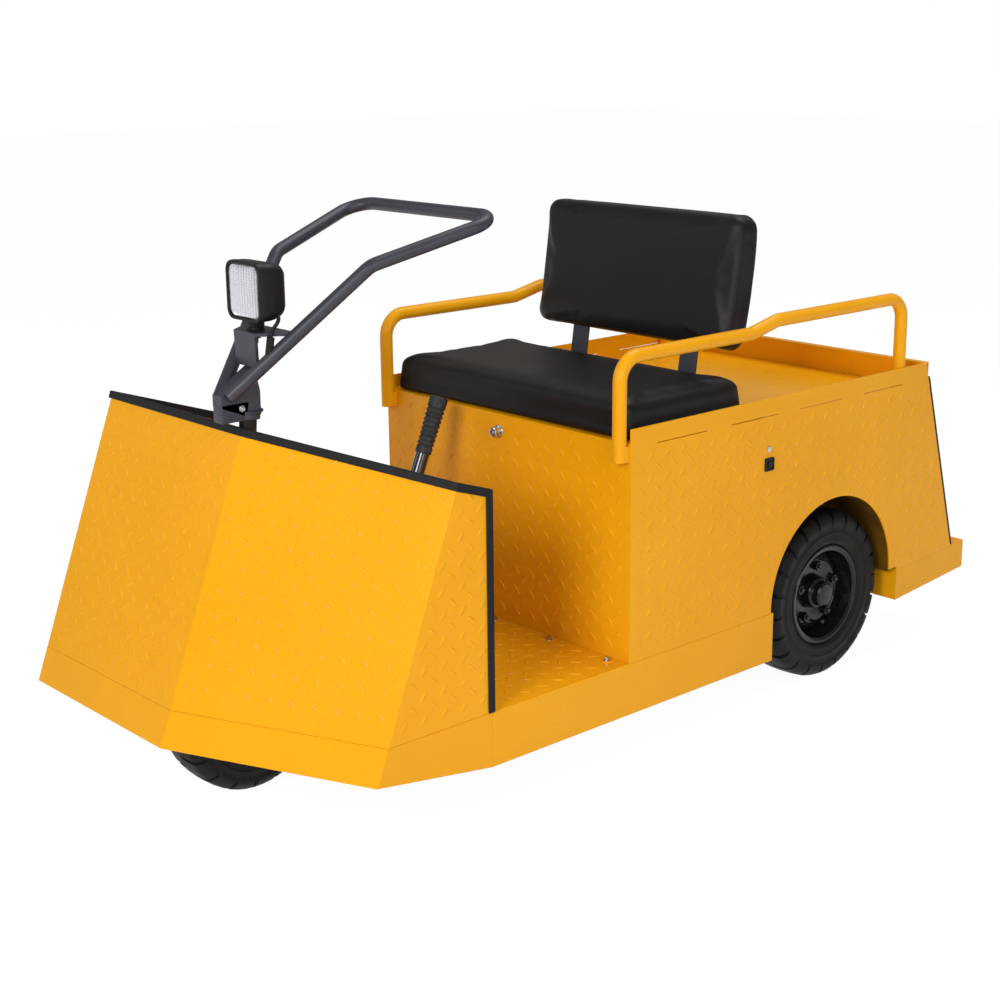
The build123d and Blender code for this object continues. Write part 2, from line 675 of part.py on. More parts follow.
def lamp_lens():
    """The lens across the lamp's mouth, close behind its edge."""
    y = LAMP_Y - LAMP_DEPTH / 2 + LENS_RECESS + LENS_PLATE / 2
    lens = Pos(0, y, DECK + LAMP_Z) * Box(LAMP_LENS, LENS_PLATE, LAMP_LENS)
    return fillet(lens.edges().filter_by(Axis.Y), LAMP_LENS * LENS_CORNER)


def turn_radii(points):
    """Each corner's radius: a share of the shorter run beside it over the tangent of half the turn."""
    radii = []
    for before, corner, after in zip(points, points[1:], points[2:]):
        arriving, leaving = corner - before, after - corner
        reach = LEAD_TURN_SHARE * min(arriving.length, leaving.length)
        radii.append(reach / tan(radians(arriving.get_angle(leaving) / 2)))
    return radii


def lamp_lead():
    """The lamp's lead past the shelf's edge, then in a thicker sleeve down to the left tiller tube."""
    points = [Vector(x, y, DECK + z) for x, y, z in LEAD_ROUTE]
    radii = turn_radii(points)
    print("lamp lead radii", [round(r, 1) for r in radii])
    route = FilletPolyline(*points, radius=radii)
    lead = sweep(Plane(origin=route @ 0, z_dir=route % 0) * Circle(LEAD_DIAMETER / 2), path=route)
    start = points[-2] + (points[-1] - points[-2]) * SLEEVE_START
    return lead + rod(start, points[-1], LEAD_SLEEVE) - tiller_loop() - lamp_housing()


# Seat and rails
def seat_cushion():
    """The bench's pad on the seat deck."""
    left, front = BODY_MID - CUSHION_WIDTH / 2, CUSHION_FRONT_Y
    pad = block(left, left + CUSHION_WIDTH, front, front + CUSHION_DEPTH, SEAT_Z, DECK + CUSHION_TOP)
    return fillet(pad.faces().sort_by(Axis.Z)[-1].edges() + pad.edges().filter_by(Axis.Z), CUSHION_ROUND)


def at_back(solid):
    """Moves a piece from the seatback's own frame, its origin mid-way on the lower face, to its place."""
    place = Pos(BODY_MID, BACK_Y + BACK_THICKNESS / 2, DECK + BACK_BOTTOM)
    return place * Rot(-BACK_RECLINE, 0, 0) * solid


def seatback():
    """The padded rest over the tray's front edge."""
    pad = Pos(0, 0, BACK_HEIGHT / 2) * Box(BACK_WIDTH, BACK_THICKNESS, BACK_HEIGHT)
    pad = fillet(pad.edges().filter_by(Axis.Y), BACK_CORNER)
    return at_back(fillet(pad.edges(), BACK_ROUND))


def seatback_bracket(side):
    """A flat bar up to the seatback's lower face, with its foot on the seat deck."""
    x0 = side * BRACKET_SPACING / 2 - BRACKET_WIDTH / 2
    x1, half = x0 + BRACKET_WIDTH, BRACKET_BAR / 2
    bar = block(x0, x1, -half, half, SEAT_DECK - BACK_BOTTOM - FLANGE, 0)
    foot_y = CUSHION_FRONT_Y + CUSHION_DEPTH + PLATE
    foot = block(BODY_MID + x0, BODY_MID + x1, foot_y, TRAY_FRONT_Y, SEAT_Z, SEAT_Z + BRACKET_BAR)
    under = block(-HALF, HALF, 0, BUMPER_Y, 0, SEAT_Z)
    return at_back(bar) + foot - under


def grab_rail(x):
    """A bent tube from the seat box's front over the seat and back down to the tray floor."""
    y0 = -RAIL_TUBE / 2
    low, high = DECK + RAIL_LOW, DECK + RAIL_HIGH
    points = [
        (x, y0, SEAT_Z - RAIL_FOOT),
        (x, y0, low),
        (x, RAIL_JOG_Y, low),
        (x, RAIL_JOG_Y + RAIL_JOG_LENGTH, high),
        (x, RAIL_REAR_Y, high),
        (x, RAIL_REAR_Y, TRAY_Z),
    ]
    path = FilletPolyline(*points, radius=RAIL_BEND)
    tube = sweep(Plane(origin=path @ 0, z_dir=path % 0) * Circle(RAIL_TUBE / 2), path=path)
    foot = block(x - RAIL_TUBE / 2, x + RAIL_TUBE / 2, y0, 0, SEAT_Z - RAIL_FOOT, SEAT_Z - PLATE)
    return tube + foot


# Controls, fittings, battery and hitch
def lever_point(distance_from_top):
    """A point on the parking lever, measured down from its top."""
    (y0, z0), (y1, z1) = LEVER_FOOT, LEVER_TOP
    length = hypot(y1 - y0, z1 - z0)
    k = distance_from_top / length
    return (LEVER_X, y1 + (y0 - y1) * k, DECK + z1 + (z0 - z1) * k)


def brake_lever():
    """The parking lever's bar on its floor block."""
    (y0, z0), (y1, z1) = LEVER_FOOT, LEVER_TOP
    bar = rod(lever_point(hypot(y1 - y0, z1 - z0)), lever_point(GRIP_LENGTH), LEVER_ROD)
    w, d = LEVER_BASE
    return bar + block(LEVER_X - w / 2, LEVER_X + w / 2, y0 - d / 2, y0 + d / 2, DECK, DECK + z0)


def brake_grip():
    """The ribbed grip on the parking lever's end."""
    return rod(lever_point(GRIP_LENGTH), lever_point(0), GRIP_DIAMETER)


def pedal(from_right, width):
    """A sloped pedal plate on its floor block, placed from the deck's right side."""
    x = -HALF + from_right
    outline = [
        (PEDAL_REAR_Y, DECK),
        (PEDAL_FRONT_Y, DECK),
        (PEDAL_FRONT_Y, DECK + PEDAL_RISE),
        (PEDAL_FRONT_Y + PEDAL_TOP, DECK + PEDAL_RISE),
        (PEDAL_REAR_Y, DECK + PEDAL_HEEL),
    ]
    return prism_x(outline, x - width / 2, x + width / 2)


def battery_block():
    """One plain block for the traction batteries inside the seat box."""
    w, d, h = BATTERY
    x = BODY_MID - w / 2
    return block(x, x + w, BATTERY_Y, BATTERY_Y + d, DECK, DECK + h)


def rear_trim(side):
    """The rubber strip down a side panel's rear edge."""
    x_out = BODY_LEFT if side > 0 else BODY_RIGHT
    z0, z1 = BUMPER_RISE + 2, BODY_TOP - LIP_DROP - PLATE
    low, high = (rear_y(z0), DECK + z0), (rear_y(z1), DECK + z1)
    points = [low, (low[0] + REAR_TRIM, low[1]), (high[0] + REAR_TRIM, high[1]), high]
    return prism_x(points, *sorted((x_out, x_out - side * REAR_TRIM_WIDTH)))


def tow_hitch():
    """Two tongues behind the bumper with one vertical bore for a coupling pin."""
    half, t = HITCH_WIDTH / 2, HITCH_TONGUE
    reach = HITCH_GAP / 2 + t
    hitch = block(-half, half, BUMPER_Y, BUMPER_Y + HITCH_BACK, HITCH_Z - reach, HITCH_Z + reach)
    for side in (-1, 1):
        low, high = sorted((HITCH_Z + side * HITCH_GAP / 2, HITCH_Z + side * reach))
        tongue = block(-half, half, BUMPER_Y + 1, BUMPER_Y + HITCH_REACH, low, high)
        hitch = hitch + fillet(tongue.edges().filter_by(Axis.Z).sort_by(Axis.Y)[-2:], HITCH_ROUND)
    return hitch - Pos(0, BUMPER_Y + HITCH_PIN, HITCH_Z) * Cylinder(HITCH_BORE / 2, 4 * HITCH_GAP)


add("chassis_frame", chassis_frame())
add("floor_plate", floor_plate())
add("nose_sill", nose_sill())
add("sill_left", side_sill(1))
add("sill_right", side_sill(-1))
add("rear_bumper", rear_bumper())
add("shield", shield())
add("shield_trim", shield_trim())
add("side_panel_left", side_panel(1))
add("side_panel_right", side_panel(-1))
add("seat_box_front", seat_box_front())
add("rear_panel", rear_panel())
add("top_tray", top_tray())
add("wheel_arch_left", wheel_arch())
add("fender_right", right_fender())
add("rear_axle", rear_axle())
add("drive_unit", drive_unit())
add("steering_fork", steering_fork())
add("steering_head", steering_head())
add("tiller_loop", tiller_loop())
add("tiller_foot", tiller_foot())
add("lamp_bracket", lamp_bracket())
add("lamp_housing", lamp_housing())
add("lamp_lens", lamp_lens())
add("lamp_lead", lamp_lead())
add("seat_cushion", seat_cushion())
add("seatback", seatback())
add("brake_lever", brake_lever())
add("brake_grip", brake_grip())
add("accelerator_pedal", pedal(*ACCELERATOR))
add("brake_pedal", pedal(*BRAKE))
add("battery_block", battery_block())
add("tow_hitch", tow_hitch())

# One row a wheel: name, x, y, side of its disc, and the sizes: tyre diameter and width, rim, axle
REAR_SIZES = (TYRE_DIAMETER, TYRE_WIDTH, RIM_DIAMETER, AXLE_DIAMETER)
FRONT_SIZES = (FRONT_TYRE_DIAMETER, FRONT_TYRE_WIDTH, FRONT_RIM_DIAMETER, FRONT_AXLE_DIAMETER)
for name, x, y, out, (tyre_d, tyre_w, rim_d, axle_d) in (
    ("rear_left", REAR_WHEEL_X, REAR_AXLE_Y, 1, REAR_SIZES),
    ("rear_right", -REAR_WHEEL_X, REAR_AXLE_Y, -1, REAR_SIZES),
    ("front", 0, FRONT_AXLE_Y, 1, FRONT_SIZES),
):
    add("tyre_" + name, tyre(tyre_d, tyre_w, rim_d, x, y, tyre_d / 2))
    add("rim_" + name, rim(rim_d, tyre_w, axle_d, x, y, tyre_d / 2, out))

# One row a side: name, side, the body's outside there
for name, side, x in (("left", 1, BODY_LEFT), ("right", -1, BODY_RIGHT)):
    add("seatback_bracket_" + name, seatback_bracket(side))
    add("grab_rail_" + name, grab_rail(x - side * (PLATE + RAIL_TUBE / 2 + RAIL_GAP)))
    add("rear_trim_" + name, rear_trim(side))
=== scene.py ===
import json
from contextlib import contextmanager
from functools import cache
from math import cos, pi, radians, sin

import bpy
from mathutils import Matrix, Vector
from mathutils.bvhtree import BVHTree


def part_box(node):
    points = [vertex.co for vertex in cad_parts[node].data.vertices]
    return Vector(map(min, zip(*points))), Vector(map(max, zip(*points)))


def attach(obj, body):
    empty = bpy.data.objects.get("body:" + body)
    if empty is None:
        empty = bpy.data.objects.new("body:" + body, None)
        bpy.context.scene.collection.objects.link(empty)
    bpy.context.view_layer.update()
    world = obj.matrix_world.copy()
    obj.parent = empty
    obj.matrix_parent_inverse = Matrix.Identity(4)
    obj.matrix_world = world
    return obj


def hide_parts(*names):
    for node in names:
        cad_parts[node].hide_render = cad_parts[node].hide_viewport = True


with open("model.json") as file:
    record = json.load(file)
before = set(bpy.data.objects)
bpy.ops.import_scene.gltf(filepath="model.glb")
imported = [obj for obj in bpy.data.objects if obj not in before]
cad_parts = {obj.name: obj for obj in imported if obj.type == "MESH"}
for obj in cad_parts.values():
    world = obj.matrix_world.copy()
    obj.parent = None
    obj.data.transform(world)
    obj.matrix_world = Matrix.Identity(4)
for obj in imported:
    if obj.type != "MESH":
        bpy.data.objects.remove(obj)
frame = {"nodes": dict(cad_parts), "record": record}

bl_info = {
    "name": "Baggage tug",
    "version": (1, 0, 0),
    "blender": (4, 5, 0),
    "location": "3D View > Sidebar > Tug",
    "description": "Dresses the packed baggage tug with its paint, tread plate, tyres, seat and lamp",
    "category": "Object",
}

NODES = frame["nodes"]
CLASSES = []
# the charging socket's y and z on the left side panel, the lock's x and z on the seat box's front
SOCKET_PLACE = (0.1924, 0.522)
LOCK_PLACE = (0.064, 0.594)
# a lozenge's outline, as shares of half its length and half its width
LOZENGE = ((0, 1), (-0.56, 0.78), (-1, 0), (-0.56, -0.78), (0, -1), (0.56, -0.78), (1, 0), (0.56, 0.78))
# how close vertices are merged in metres, and a hexagon's width over its flats in radii
MERGE = 0.00002
HEXAGON = 1.732
WHEEL_NUTS = 5
CLOTH_FRAMES = 20


def settle(target, **values):
    """Sets several properties of one thing."""
    for key, value in values.items():
        setattr(target, key, value)


# Shader helpers
class Wire:
    """A node's output in a tree; + and * on it, also with the number first, add Math nodes."""

    def __init__(self, tree, socket):
        self.tree = tree
        self.socket = socket

    def math(self, operation, other):
        return self.tree.add("Math", dict(operation=operation), self, other)

    def __add__(self, other):
        return self.math("ADD", other)

    def __mul__(self, other):
        return self.math("MULTIPLY", other)

    __radd__ = __add__
    __rmul__ = __mul__


class Tree:
    """A node tree whose nodes all come from one method."""

    def __init__(self, tree):
        self.nodes = tree.nodes
        self.links = tree.links

    def feed(self, socket, value):
        """Puts a number, a colour or a wire on a socket."""
        if isinstance(value, Wire):
            self.links.new(value.socket, socket)
        elif isinstance(value, (tuple, list)) and len(value) == 3 and socket.type == "RGBA":
            socket.default_value = (*value, 1)
        else:
            socket.default_value = value

    def add(self, kind, settings, *inputs, out=0, **named):
        """Adds a node with its settings first, then its inputs in order or by name."""
        node = self.nodes.new("ShaderNode" + kind)
        settle(node, **settings)
        for index, value in enumerate(inputs):
            self.feed(node.inputs[index], value)
        for key, value in named.items():
            self.feed(node.inputs[key], value)
        return Wire(self, node.outputs[out])

    def seen_by(self, *rays):
        """1 for the named kinds of ray and 0 for all others."""
        wires = [self.add("LightPath", {}, out="Is %s Ray" % ray) for ray in rays]
        for other in wires[1:]:
            wires[0] = wires[0].math("MAXIMUM", other)
        return wires[0]


class Finish(Tree):
    """One procedural material: a Principled shader whose constants stand on its own sockets."""

    def __init__(self, name, colour, roughness, metallic=0, specular=0.5, **sockets):
        self.material = bpy.data.materials.new(name)
        self.material.use_nodes = True
        self.material.diffuse_color = (*colour, 1)
        super().__init__(self.material.node_tree)
        self.shader = self.nodes["Principled BSDF"]
        self.set("Base Color", (*colour, 1))
        self.set("Roughness", roughness)
        self.set("Metallic", metallic)
        self.set("Specular IOR Level", specular)
        for socket, value in sockets.items():
            self.set(socket.replace("_", " "), value)

    def set(self, socket, value):
        """Puts a number, a colour or a wire on a socket of the shader."""
        self.feed(self.shader.inputs[socket], value)

    def place(self):
        """The point on the piece, in metres, in the tug's own frame."""
        return self.add("TexCoord", {}, out="Object")

    def noise(self, scale, detail, roughness=0.55):
        """Noise from 0 to 1 over the piece; scale is in cells a metre."""
        return self.add("TexNoise", {}, Vector=self.place(), Scale=scale, Detail=detail, Roughness=roughness)

    def ramp(self, value, low, high):
        """0 below low and 1 above high, smooth between."""
        return self.add("MapRange", dict(interpolation_type="SMOOTHSTEP"), value, low, high, 0, 1)

    def tint(self, mask, first, second):
        """Lets the colour go from first to second with a mask."""
        node = self.nodes.new("ShaderNodeMix")
        node.data_type = "RGBA"
        for index, value in ((0, mask), (6, first), (7, second)):
            self.feed(node.inputs[index], value)
        self.set("Base Color", Wire(self, node.outputs[2]))

    def matte(self, mask, spread, least):
        """Lets the roughness rise from least by spread with a mask."""
        self.set("Roughness", mask * spread + least)

    def bump(self, height, distance, strength):
        """Feeds the shader's normal from a height that is 1 at the given distance in metres."""
        self.set("Normal", self.add("Bump", {}, Strength=strength, Distance=distance, Height=height))


# Mesh helpers
def clear():
    """Leaves edit mode and deselects everything."""
    if bpy.context.object and bpy.context.object.mode != "OBJECT":
        bpy.ops.object.mode_set(mode="OBJECT")
    bpy.ops.object.select_all(action="DESELECT")


def take(piece):
    """Selects one object alone and makes it active."""
    clear()
    piece.select_set(True)
    bpy.context.view_layer.objects.active = piece
    return piece


@contextmanager
def editing(piece):
    """Edit mode on one piece with all of it selected, and object mode again afterwards."""
    take(piece)
    bpy.ops.object.mode_set(mode="EDIT")
    bpy.ops.mesh.select_all(action="SELECT")
    yield
    bpy.ops.object.mode_set(mode="OBJECT")


def linked(name, data):
    """A new object in the scene."""
    piece = bpy.data.objects.new(name, data)
    bpy.context.scene.collection.objects.link(piece)
    return piece


def corners(node):
    """The low and high corners of a CAD node's box."""
    return (Vector(corner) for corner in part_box(node))


def start(name, kind, **sizes):
    """Adds a primitive, names it and returns it as the only selected object."""
    clear()
    getattr(bpy.ops.mesh, "primitive_" + kind + "_add")(**sizes)
    piece = bpy.context.object
    piece.name = name
    piece.data.name = name
    return piece


def apply_place(piece):
    """Moves a piece's place, turn and scale into its mesh."""
    take(piece)
    bpy.ops.object.transform_apply(location=True, rotation=True, scale=True)
    return piece


def modify(piece, kind, **settings):
    """Adds one modifier and applies it."""
    take(piece)
    modifier = piece.modifiers.new(kind.title(), kind)
    settle(modifier, **settings)
    bpy.ops.object.modifier_apply(modifier=modifier.name)
    return piece


def smooth(piece, angle=35):
    """Shades a piece smooth across edges flatter than angle."""
    take(piece)
    bpy.ops.object.shade_smooth_by_angle(angle=radians(angle))
    return piece


def block(name, at, scale):
    """A box of a size at a point."""
    return apply_place(start(name, "cube", size=1, location=at, scale=scale))


def standing(x, y, z, at):
    """The matrix whose axes are x, y and z and whose origin is a point."""
    matrix = Matrix((x, y, z)).transposed().to_4x4()
    matrix.translation = at
    return matrix


def towards(at, axis, base=(0, 0, 1)):
    """The matrix that turns a base direction to axis and then moves the origin to a point."""
    turn = Vector(base).rotation_difference(Vector(axis)).to_matrix().to_4x4()
    return Matrix.Translation(Vector(at)) @ turn


def place_piece(piece, at, axis, base=(0, 0, 1)):
    """Turns a piece's base direction to axis and moves it to a point, in its mesh."""
    piece.data.transform(towards(at, axis, base))
    return piece


def row(piece, count, step):
    """Repeats a piece count times along a step."""
    offsets = dict(use_relative_offset=False, use_constant_offset=True, constant_offset_displace=step)
    return modify(piece, "ARRAY", count=max(1, count), **offsets)


def ring(piece, count, axis):
    """Repeats a piece evenly round an axis through the origin."""
    hub = linked("hub", None)
    hub.matrix_world = Matrix.Rotation(2 * pi / count, 4, axis)
    bpy.context.view_layer.update()
    modify(piece, "ARRAY", count=count, use_relative_offset=False, use_object_offset=True, offset_object=hub)
    bpy.data.objects.remove(hub)
    return piece


def drop(piece, gone):
    """Deletes the vertices whose flag is set."""
    for group in (piece.data.edges, piece.data.polygons):
        group.foreach_set("select", [False] * len(group))
    piece.data.vertices.foreach_set("select", gone)
    take(piece)
    bpy.context.tool_settings.mesh_select_mode = (True, False, False)
    bpy.ops.object.mode_set(mode="EDIT")
    bpy.ops.mesh.delete(type="VERT")
    bpy.ops.object.mode_set(mode="OBJECT")
    return piece


def extrude_up(piece, steps):
    """Extrudes a flat face by (rise, scale of what is left) steps, each scaled about the Z axis."""
    bpy.context.tool_settings.mesh_select_mode = (False, False, True)
    with editing(piece):
        for rise, scale in steps:
            bpy.ops.mesh.extrude_region_move(TRANSFORM_OT_translate={"value": (0, 0, rise)})
            bpy.ops.transform.resize(value=(scale, scale, 1), center_override=(0, 0, 0))
    return piece


def rounded_square(half, corner):
    """The outline of a square with round corners, 12 points a corner; corner is a share of half."""
    r = half * corner
    points = []
    for quarter, (cx, cy) in enumerate(((1, 1), (-1, 1), (-1, -1), (1, -1))):
        for i in range(12):
            angle = quarter * pi / 2 + i * pi / 22
            points.append((cx * (half - r) + r * cos(angle), cy * (half - r) + r * sin(angle)))
    return points


def stacked(name, outline, scale, steps, base):
    """A closed shell along Z: the outline at height base and scale, then steps of (height, scale)."""
    piece = start(name, "circle", vertices=len(outline), radius=1, fill_type="NGON")
    for vertex, (x, y) in zip(piece.data.vertices, outline):
        vertex.co = (x * scale, y * scale, base)
    moves = []
    for height, size in steps:
        moves.append((height - base, size / scale))
        base, scale = height, size
    return outward(extrude_up(piece, moves))


def lathe(name, profile, steps):
    """Spins a profile of (along X, radius) points round the X axis."""
    mesh = bpy.data.meshes.new(name)
    mesh.from_pydata([(x, 0, r) for x, r in profile], [(i, i + 1) for i in range(len(profile) - 1)], [])
    piece = linked(name, mesh)
    with editing(piece):
        bpy.ops.mesh.spin(steps=steps, angle=2 * pi, center=(0, 0, 0), axis=(1, 0, 0))
    return smooth(outward(piece), 34)


def spun(name, profile, steps, at, axis):
    """A lathed piece whose X axis is turned to axis and moved to a point."""
    return place_piece(lathe(name, profile, steps), at, axis, (1, 0, 0))


def join(name, pieces):
    """Joins pieces into one mesh under one name."""
    take(pieces[0])
    for piece in pieces:
        piece.select_set(True)
    if len(pieces) > 1:
        bpy.ops.object.join()
    pieces[0].name = name
    pieces[0].data.name = name
    return pieces[0]


def outward(piece):
    """Merges doubles and turns every face outwards."""
    with editing(piece):
        bpy.ops.mesh.remove_doubles(threshold=MERGE)
        bpy.ops.mesh.normals_make_consistent(inside=False)
    return piece


def paint(piece, finish):
    """Gives a whole piece one finish."""
    piece.data.materials.clear()
    piece.data.materials.append(finish.material)
    for face in piece.data.polygons:
        face.material_index = 0
    return piece


def copy_node(node, name):
    """A merged copy of a CAD node's mesh, with its flat faces made whole again."""
    piece = linked(name, NODES[node].data.copy())
    piece.data.name = name
    with editing(piece):
        bpy.ops.mesh.remove_doubles(threshold=MERGE)
        bpy.ops.mesh.customdata_custom_splitnormals_clear()
        bpy.ops.mesh.dissolve_limited(angle_limit=radians(1), delimit={"NORMAL"})
    return piece


def dress(piece, name, slot, angle=None, body="chassis", node=None):
    """Shades a piece smooth below angle, paints it, rides it on a body and lets it stand for a CAD node."""
    if angle:
        smooth(piece, angle)
    paint(piece, finish(name))
    clear()
    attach(piece, body)
    if node:
        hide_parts(node)
    return piece


def bolt(name, at, axis, across, height, washer=True):
    """A hexagon bolt head with its washer, standing along axis at a point."""
    base = 0.0016 if washer else 0
    layers = [(24, across * 0.78, 0, base)] if washer else []
    parts = []
    for sides, radius, foot, depth in (*layers, (6, across / HEXAGON, base, height)):
        spot = (0, 0, foot + depth / 2)
        part = start(name, "cylinder", vertices=sides, radius=radius, depth=depth, location=spot)
        parts.append(part)
    for part in parts:
        modify(part, "BEVEL", width=0.0006, segments=2, limit_method="ANGLE", angle_limit=radians(40))
    piece = join(name, parts)
    piece.matrix_world = towards(at, axis)
    return smooth(apply_place(piece), 30)


def plated_bolts(name, places, axis, across, height, body="chassis"):
    """Like bolts at several places, as one plated piece."""
    bolts = join(name, [bolt(name, at, axis, across, height) for at in places])
    return dress(bolts, "plated", "rim_paint", body=body)


def tube(name, points, radius):
    """A round tube along a NURBS line with these control points."""
    curve = bpy.data.curves.new(name, "CURVE")
    settle(curve, dimensions="3D", bevel_depth=radius, bevel_resolution=4, use_fill_caps=True)
    spline = curve.splines.new("NURBS")
    spline.points.add(len(points) - 1)
    for point, place in zip(spline.points, points):
        point.co = (*place, 1)
    settle(spline, order_u=3, use_endpoint_u=True, resolution_u=10)
    take(linked(name, curve))
    bpy.ops.object.convert(target="MESH")
    return smooth(bpy.context.object, 40)


# Sizes and colours
def colour(name, piece, default):
    """A colour among the looks."""
    description = "Colour of the " + piece
    return bpy.props.FloatVectorProperty(name=name, description=description, subtype="COLOR", default=default)


def length(name, description, default):
    """A length among the sizes."""
    return bpy.props.FloatProperty(name=name, description=description, unit="LENGTH", default=default)


class TugLooks(bpy.types.PropertyGroup):
    """Colours of the tug's finishes."""

    enamel: colour("Enamel", "body's enamel", (0.85, 0.375, 0.004))
    slate: colour("Slate", "tiller's paint", (0.038, 0.037, 0.05))
    chassis: colour("Chassis", "chassis paint", (0.007, 0.007, 0.007))
    vinyl: colour("Vinyl", "seat's cover", (0.0068, 0.0063, 0.0062))
    tyre: colour("Tyre", "tyres", (0.0062, 0.0056, 0.0052))
    floor: colour("Floor", "floor", (0.86, 0.86, 0.86))


class TugSizes(bpy.types.PropertyGroup):
    """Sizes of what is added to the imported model."""

    tread_pitch: length("Tread pitch", "Distance between crossing lozenges", 0.0311)
    tread_length: length("Lozenge length", "Length of one lozenge", 0.025)
    tread_width: length("Lozenge width", "Width of one lozenge", 0.0075)
    tread_height: length("Lozenge height", "Height of one lozenge", 0.0015)
    lugs: bpy.props.IntProperty(name="Lugs", description="Lugs round a rear tyre", default=22, min=8)
    grip_ribs: bpy.props.IntProperty(name="Grip ribs", description="Ribs on the lever's grip", default=9, min=3)


def looks():
    return bpy.context.scene.tug_looks


def sizes():
    return bpy.context.scene.tug_sizes


@cache
def finish(name):
    """A finish by name, made when it is first asked for."""
    return MAKERS[name]()


def shaded(colour, share):
    """A colour with each channel taken times a share."""
    return tuple(channel * share for channel in colour)


def enamel():
    """Semi-gloss orange-yellow enamel with slight orange peel and faint unevenness in colour."""
    colour = looks().enamel
    f = Finish("enamel", colour, 0.34, Coat_Weight=0.06, Coat_Roughness=0.1, specular=0.15)
    paler = tuple(min(1, channel * 1.025 + 0.002) for channel in colour)
    f.tint(f.ramp(f.noise(2.2, 5), 0.35, 0.65), shaded(colour, 0.972), paler)
    f.matte(f.ramp(f.noise(14, 5), 0.3, 0.7), 0.07, 0.27)
    f.bump(f.noise(900, 2), 0.00006, 0.35)
    return f


def arch_enamel_painted_shade():
    """The enamel inside a wheel arch, darkened as painted shade, with patchy road dirt."""
    colour = looks().enamel
    # painted shade: the enamel's colour is darkened to between 9 and 20 per cent (30 per cent in the viewport)
    # for the shade inside the arch; the noise mask varies it in patches as road dirt and makes it rougher there
    f = Finish("arch enamel painted shade", shaded(colour, 0.3), 0.6, specular=0.15)
    dirt_and_painted_shade = f.ramp(f.noise(9, 6, 0.6), 0.3, 0.7)
    f.tint(dirt_and_painted_shade, shaded(colour, 0.2), shaded(colour, 0.09))
    f.matte(dirt_and_painted_shade, 0.2, 0.5)
    f.bump(f.noise(260, 4), 0.0002, 0.3)
    return f


def slate():
    """Dark slate paint on the tiller."""
    f = Finish("slate paint", looks().slate, 0.42, specular=0.4)
    f.tint(f.ramp(f.noise(20, 4), 0.3, 0.7), shaded(looks().slate, 0.9), shaded(looks().slate, 1.1))
    f.matte(f.noise(60, 3), 0.12, 0.36)
    f.bump(f.noise(1100, 2), 0.00005, 0.3)
    return f


def chassis():
    """Satin black paint with a little dust."""
    f = Finish("chassis black", looks().chassis, 0.5, specular=0.3)
    dust = f.ramp(f.noise(11, 6, 0.65), 0.5, 0.8)
    f.tint(dust * 0.5, tuple(looks().chassis), (0.02, 0.018, 0.016))
    f.matte(dust, 0.25, 0.42)
    f.bump(f.noise(700, 3), 0.00008, 0.3)
    return f


def gloss_black():
    """Glossy black paint on the lever's bar."""
    f = Finish("gloss black", (0.008, 0.008, 0.008), 0.16, Coat_Weight=0.5)
    f.matte(f.noise(40, 3), 0.1, 0.1)
    return f


def vinyl():
    """Black seat vinyl: fine leather grain, and a little unevenness in colour and sheen."""
    f = Finish("seat vinyl", looks().vinyl, 0.42, specular=0.24)
    cells = f.add("TexVoronoi", dict(feature="DISTANCE_TO_EDGE"), Vector=f.place(), Scale=620)
    grain = f.ramp(cells, 0, 0.22)
    f.tint(f.ramp(f.noise(7, 4), 0.3, 0.7), shaded(looks().vinyl, 0.85), shaded(looks().vinyl, 1.2))
    f.matte(f.noise(9, 4), 0.14, 0.36)
    f.bump(grain * 0.7 + f.noise(1500, 2) * 0.3, 0.00022, 0.45)
    return f


def rubber():
    """Moulded black rubber for the edge trims, the pedal pads and the lamp's lead."""
    f = Finish("edge rubber", (0.0075, 0.0078, 0.0082), 0.55, specular=0.25)
    f.matte(f.noise(50, 4), 0.2, 0.5)
    f.bump(f.noise(800, 3), 0.00008, 0.35)
    return f


def grip():
    """Grey-black rubber of the lever's grip."""
    f = Finish("grip rubber", (0.03, 0.031, 0.032), 0.6, specular=0.25)
    f.tint(f.ramp(f.noise(120, 4), 0.35, 0.7), (0.022, 0.023, 0.024), (0.044, 0.045, 0.046))
    f.bump(f.noise(900, 2), 0.00012, 0.5)
    return f


def tyre_rubber():
    """Tyre rubber: brownish black with dusty patches."""
    f = Finish("tyre rubber", looks().tyre, 0.6, specular=0.2)
    dust = f.ramp(f.noise(24, 6, 0.65), 0.45, 0.8)
    f.tint(dust * 0.45, tuple(looks().tyre), (0.018, 0.015, 0.012))
    f.matte(dust, 0.2, 0.56)
    f.bump(f.noise(420, 4), 0.00025, 0.35)
    return f


def lamp_black():
    """Grained moulded plastic."""
    f = Finish("lamp plastic", (0.006, 0.006, 0.006), 0.42, specular=0.28)
    f.matte(f.noise(80, 3), 0.15, 0.38)
    f.bump(f.noise(1400, 2), 0.0001, 0.5)
    return f


def lamp_glass():
    """Lens glass, pressed with fine crossing ribs."""
    f = Finish("lens glass", (0.95, 0.95, 0.97), 0.1, Transmission_Weight=0.9, IOR=1.45)
    ribs, flutes = (
        f.add("TexWave", dict(bands_direction=way, wave_profile="SIN"), Vector=f.place(), Scale=scale)
        for way, scale in (("Z", 62), ("X", 40))
    )
    f.bump(ribs * 0.6 + flutes * 0.4, 0.0006, 0.5)
    return f


def frosted_bulb():
    """Frosted bulb glass."""
    f = Finish("frosted bulb", (0.85, 0.85, 0.86), 0.4)
    f.matte(f.noise(200, 2), 0.2, 0.3)
    return f


def rim_black():
    """Glossy black wheel paint with dusty patches."""
    f = Finish("rim black", (0.005, 0.005, 0.005), 0.3, Coat_Weight=0.1, specular=0.28)
    dust = f.ramp(f.noise(30, 6, 0.65), 0.45, 0.8)
    f.tint(dust * 0.4, (0.005, 0.005, 0.005), (0.014, 0.012, 0.01))
    f.matte(dust, 0.35, 0.22)
    f.bump(f.noise(500, 3), 0.00006, 0.3)
    return f


